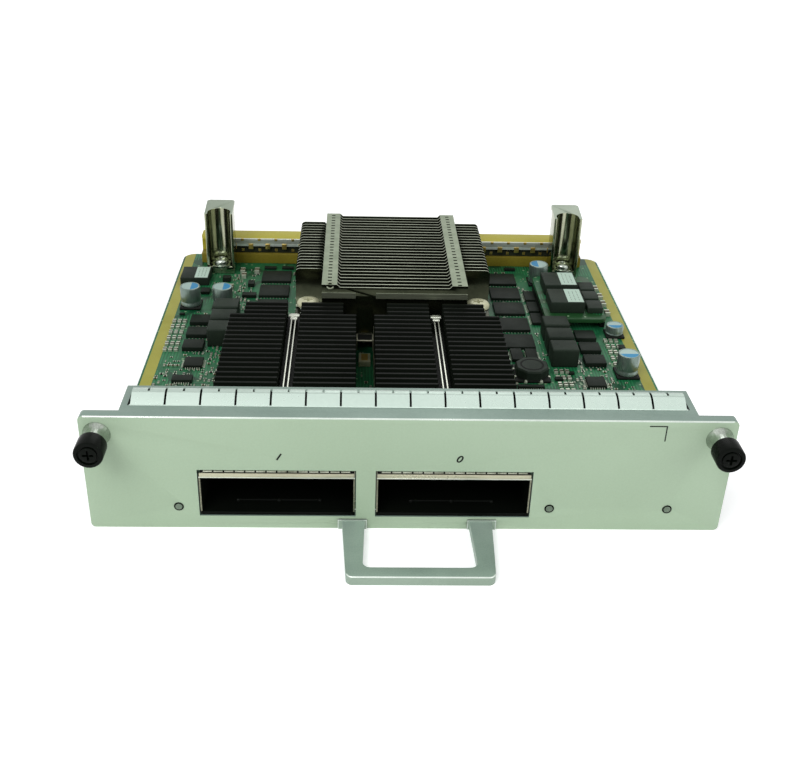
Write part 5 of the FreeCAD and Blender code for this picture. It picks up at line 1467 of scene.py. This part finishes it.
def makeLegShape(look):
    # a folded leg: out of the chip at +X, down and out again
    width, thick, lift, reach, foot, root = sized(look, "width", "sheet", "lift", "reach", "foot", "root")
    half = width / 2
    path = [(-root, lift), (reach * look["bendStart"], lift), (reach * look["bendEnd"], thick),
            (reach + foot, thick)]
    shape = bmesh.new()
    rows = [[shape.verts.new(corner) for corner in ((x, -half, z), (x, half, z), (x, half, z - thick),
                                                    (x, -half, z - thick))] for x, z in path]
    bridgeRows(shape, rows, closed=True)
    shape.faces.new(rows[0])
    shape.faces.new(rows[-1][::-1])
    return shape


def legPoints(low, high, pitch, sides):
    # the places along a chip's sides, each with the way it faces
    points = []
    for side in sides:
        alongY = side in ("left", "right")
        first, last = (low.y, high.y) if alongY else (low.x, high.x)
        count = int((last - first - legLook["margin"] * mm) / (pitch * mm))
        for number in range(count):
            at = (first + last) / 2 + (number - (count - 1) / 2) * pitch * mm
            place, turn = {"right": ((high.x, at), 0.0), "left": ((low.x, at), math.pi),
                           "rear": ((at, high.y), math.pi / 2), "front": ((at, low.y), -math.pi / 2)}[side]
            points.append((Vector((*place, low.z)), turn))
    return points


def makeLegs(look, pads):
    points = []
    dots = []
    for low, high in solidBoxes("logic_chips"):
        square = abs((high.x - low.x) - (high.y - low.y)) < look["squareSlack"] * mm
        sides = ("left", "right", "front", "rear") if square else ("left", "right")
        points += legPoints(low, high, look["quadPitch"] if square else look["pitch"], sides)
    for low, high in solidBoxes("memory_chips") + solidBoxes("power_stages"):
        dots += legPoints(low, high, pads["pitch"], ("front", "rear"))
    for chip in boardChips["legged"]:
        low, high = chipBox(chip, boardTop, boardTop + chip[4])
        points += legPoints(low, high, look["quadPitch"], ("front", "rear"))
    mesh = growPart(makeLegShape(look), placedTree, "partEnds", {"Skew": 0.0, "Seed": look["seed"]}, points)
    addPiece("chipLegs", mesh)
    size, start, height = sized(pads, "size", "start", "height")
    shape = bmesh.new()
    addBlock(shape, (start, -size / 2, 0), (start + pads["length"] * size, size / 2, height), pads["edge"])
    mesh = growPart(shape, placedTree, "partEnds", {"Skew": pads["skew"], "Seed": pads["seed"]}, dots)
    addPiece("chipPads", mesh)


# sizes of the two-ended parts are width, length, height and the length of a metal end, in mm;
# busy places are where they crowd on the board: x, y and reach
beadLook = {
    "skew": 0.03, "turnSeed": 5, "slim": 0.94, "bead": (1.3, 2.2, 0.9, 0.66), "wide": (1.9, 3.4, 1.5, 0.8),
    "smallTan": (0.75, 1.3, 0.5, 0.32), "smallDark": (0.75, 1.3, 0.45, 0.3), "tiny": (0.5, 0.95, 0.35, 0.26),
    "widePlaces": ((83.6, 156.2), (84.1, 148.6), (84.1, 141.7), (84.0, 133.3), (-63.1, 170.2),
                   (-57.2, 170.4), (-62.2, 165.4), (-66.4, 153.4)),
    "wideRoom": (2, 2.6), "scatter": 520, "seed": 11, "step": 1.55, "margin": 0.7, "quiet": 0.16,
    "sideBorder": 5.5, "frontBorder": 13, "clearFoot": 0.1, "clearHeight": 4.5,
    "busyPlaces": ((-73, 82, 13), (-66, 96, 8), (69, 79, 15), (-64, 160, 12), (-60, 140, 7), (53, 108, 9),
                   (57, 152, 8), (82, 140, 6), (46, 97, 8), (-50, 98, 9), (80, 62, 9), (-80, 60, 10)),
}


def makeChipPart(size, slim, ends):
    # a two-ended part along Y: its middle, or its two metal ends
    width, length, tall, end = (value * mm for value in size)
    half, reach = width / 2, length / 2
    inner = reach - end
    shape = bmesh.new()
    if ends:
        addBlock(shape, (-half, -reach, 0), (half, -inner, tall))
        addBlock(shape, (-half, inner, 0), (half, reach, tall))
    else:
        addBlock(shape, (-half * slim, -inner, 0), (half * slim, inner, tall * slim))
    return shape


def freePlaces(look):
    # open places on the board, clear of everything that stands on it, and more of them where parts crowd
    chance = random.Random(look["seed"])
    low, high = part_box("main_board")
    floor = high.z
    margin = look["margin"] * mm
    taken = []
    for name in frame["nodes"]:
        if name == "main_board":
            continue
        for near, far in solidBoxes(name):
            if near.z < floor + look["clearHeight"] * mm and far.z > floor + look["clearFoot"] * mm:
                taken.append((near.x - margin, near.y - margin, far.x + margin, far.y + margin))
    for chip in boardChips["legged"] + boardChips["plain"]:
        near, far = chipBox(chip, 0, 0)
        taken.append((near.x - 2 * margin, near.y - 2 * margin, far.x + 2 * margin, far.y + 2 * margin))
    across, along = look["wideRoom"]
    for x, y in look["widePlaces"]:
        near = spot(x, y, 0)
        taken.append((near.x - across * mm, near.y - along * mm, near.x + across * mm, near.y + along * mm))
    places = []
    step = look["step"] * mm
    side, front = look["sideBorder"], look["frontBorder"]
    columns = int((high.x - low.x - 2 * side * mm) / step)
    rows = int((high.y - low.y - 2 * front * mm) / step)
    for column in range(columns):
        for row in range(rows):
            x = low.x + side * mm + column * step
            y = low.y + front * mm + row * step
            if any(a < x < c and b < y < d for a, b, c, d in taken):
                continue
            crowded = any((Vector((x, y, 0)) - spot(a, b, 0)).xy.length < reach * mm
                          for a, b, reach in look["busyPlaces"])
            if crowded or chance.random() < look["quiet"]:
                places.append((x, y))
    chance.shuffle(places)
    points = []
    for x, y in places[:look["scatter"]]:
        points.append((Vector((x, y, floor)), chance.choice((0.0, math.pi / 2))))
    return points


socketLook = {"leastWidth": 2, "edge": 0.25, "insetX": 0.9, "insetY": 0.8, "sunk": 0.1, "raise": 0.05}


def makeSmallParts(look, socket):
    beads = []
    shape = bmesh.new()
    for low, high in solidBoxes("board_passives"):
        if high.x - low.x < socket["leastWidth"] * mm:
            beads.append((Vector(((low.x + high.x) / 2, (low.y + high.y) / 2, low.z)), 0.0))
        else:
            # the one wide solid is the cable socket between the heat sinks
            x, y = socket["insetX"] * mm, socket["insetY"] * mm
            addBlock(shape, low, high, socket["edge"])
            addBlock(shape, (low.x + x, low.y + y, high.z - socket["sunk"] * mm),
                     (high.x - x, high.y - y, high.z + socket["raise"] * mm), kind=1)
    addShape(shape, "flexSocket", "passive_tan", "screwCream", "contactGold", replaced=("board_passives",))
    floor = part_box("main_board")[1].z
    scattered = freePlaces(look)
    wide = [(Vector((*spot(x, y, 0).xy, floor)), 0.0) for x, y in look["widePlaces"]]
    sets = [("bead", beads, "bead", "beadBrown", ("board_passives",)), ("wide", wide, "wide", "partTan", ()),
            ("smallTan", scattered[::4], "smallTan", "partTan", ()),
            ("smallDark", scattered[1::4], "smallDark", "partDark", ()),
            ("tinyTan", scattered[2::4], "tiny", "partTan", ()),
            ("tinyDark", scattered[3::4], "tiny", "partDark", ())]
    for name, points, size, kind, replaced in sets:
        values = {"Skew": look["skew"], "Seed": look["turnSeed"]}
        for ending, ends in (("Bodies", False), ("Ends", True)):
            shape = makeChipPart(look[size], look["slim"], ends)
            mesh = growPart(shape, placedTree, "partEnds" if ends else kind, values, points)
            addPiece(name + ending, mesh, replaced)


def makeDarkChips(look):
    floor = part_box("main_board")[1].z
    shape = bmesh.new()
    for chip in look["legged"] + look["plain"]:
        near, far = chipBox(chip, 0, 0)
        addBlock(shape, (near.x, near.y, floor + look["foot"] * mm), (far.x, far.y, floor + chip[4] * mm),
                 look["edge"])
    addShape(shape, "darkChips", "chip_black", "chipBlack")


makeLegs(legLook, padLook)
makeSmallParts(beadLook, socketLook)
makeDarkChips(boardChips)
print("legs and small parts made")
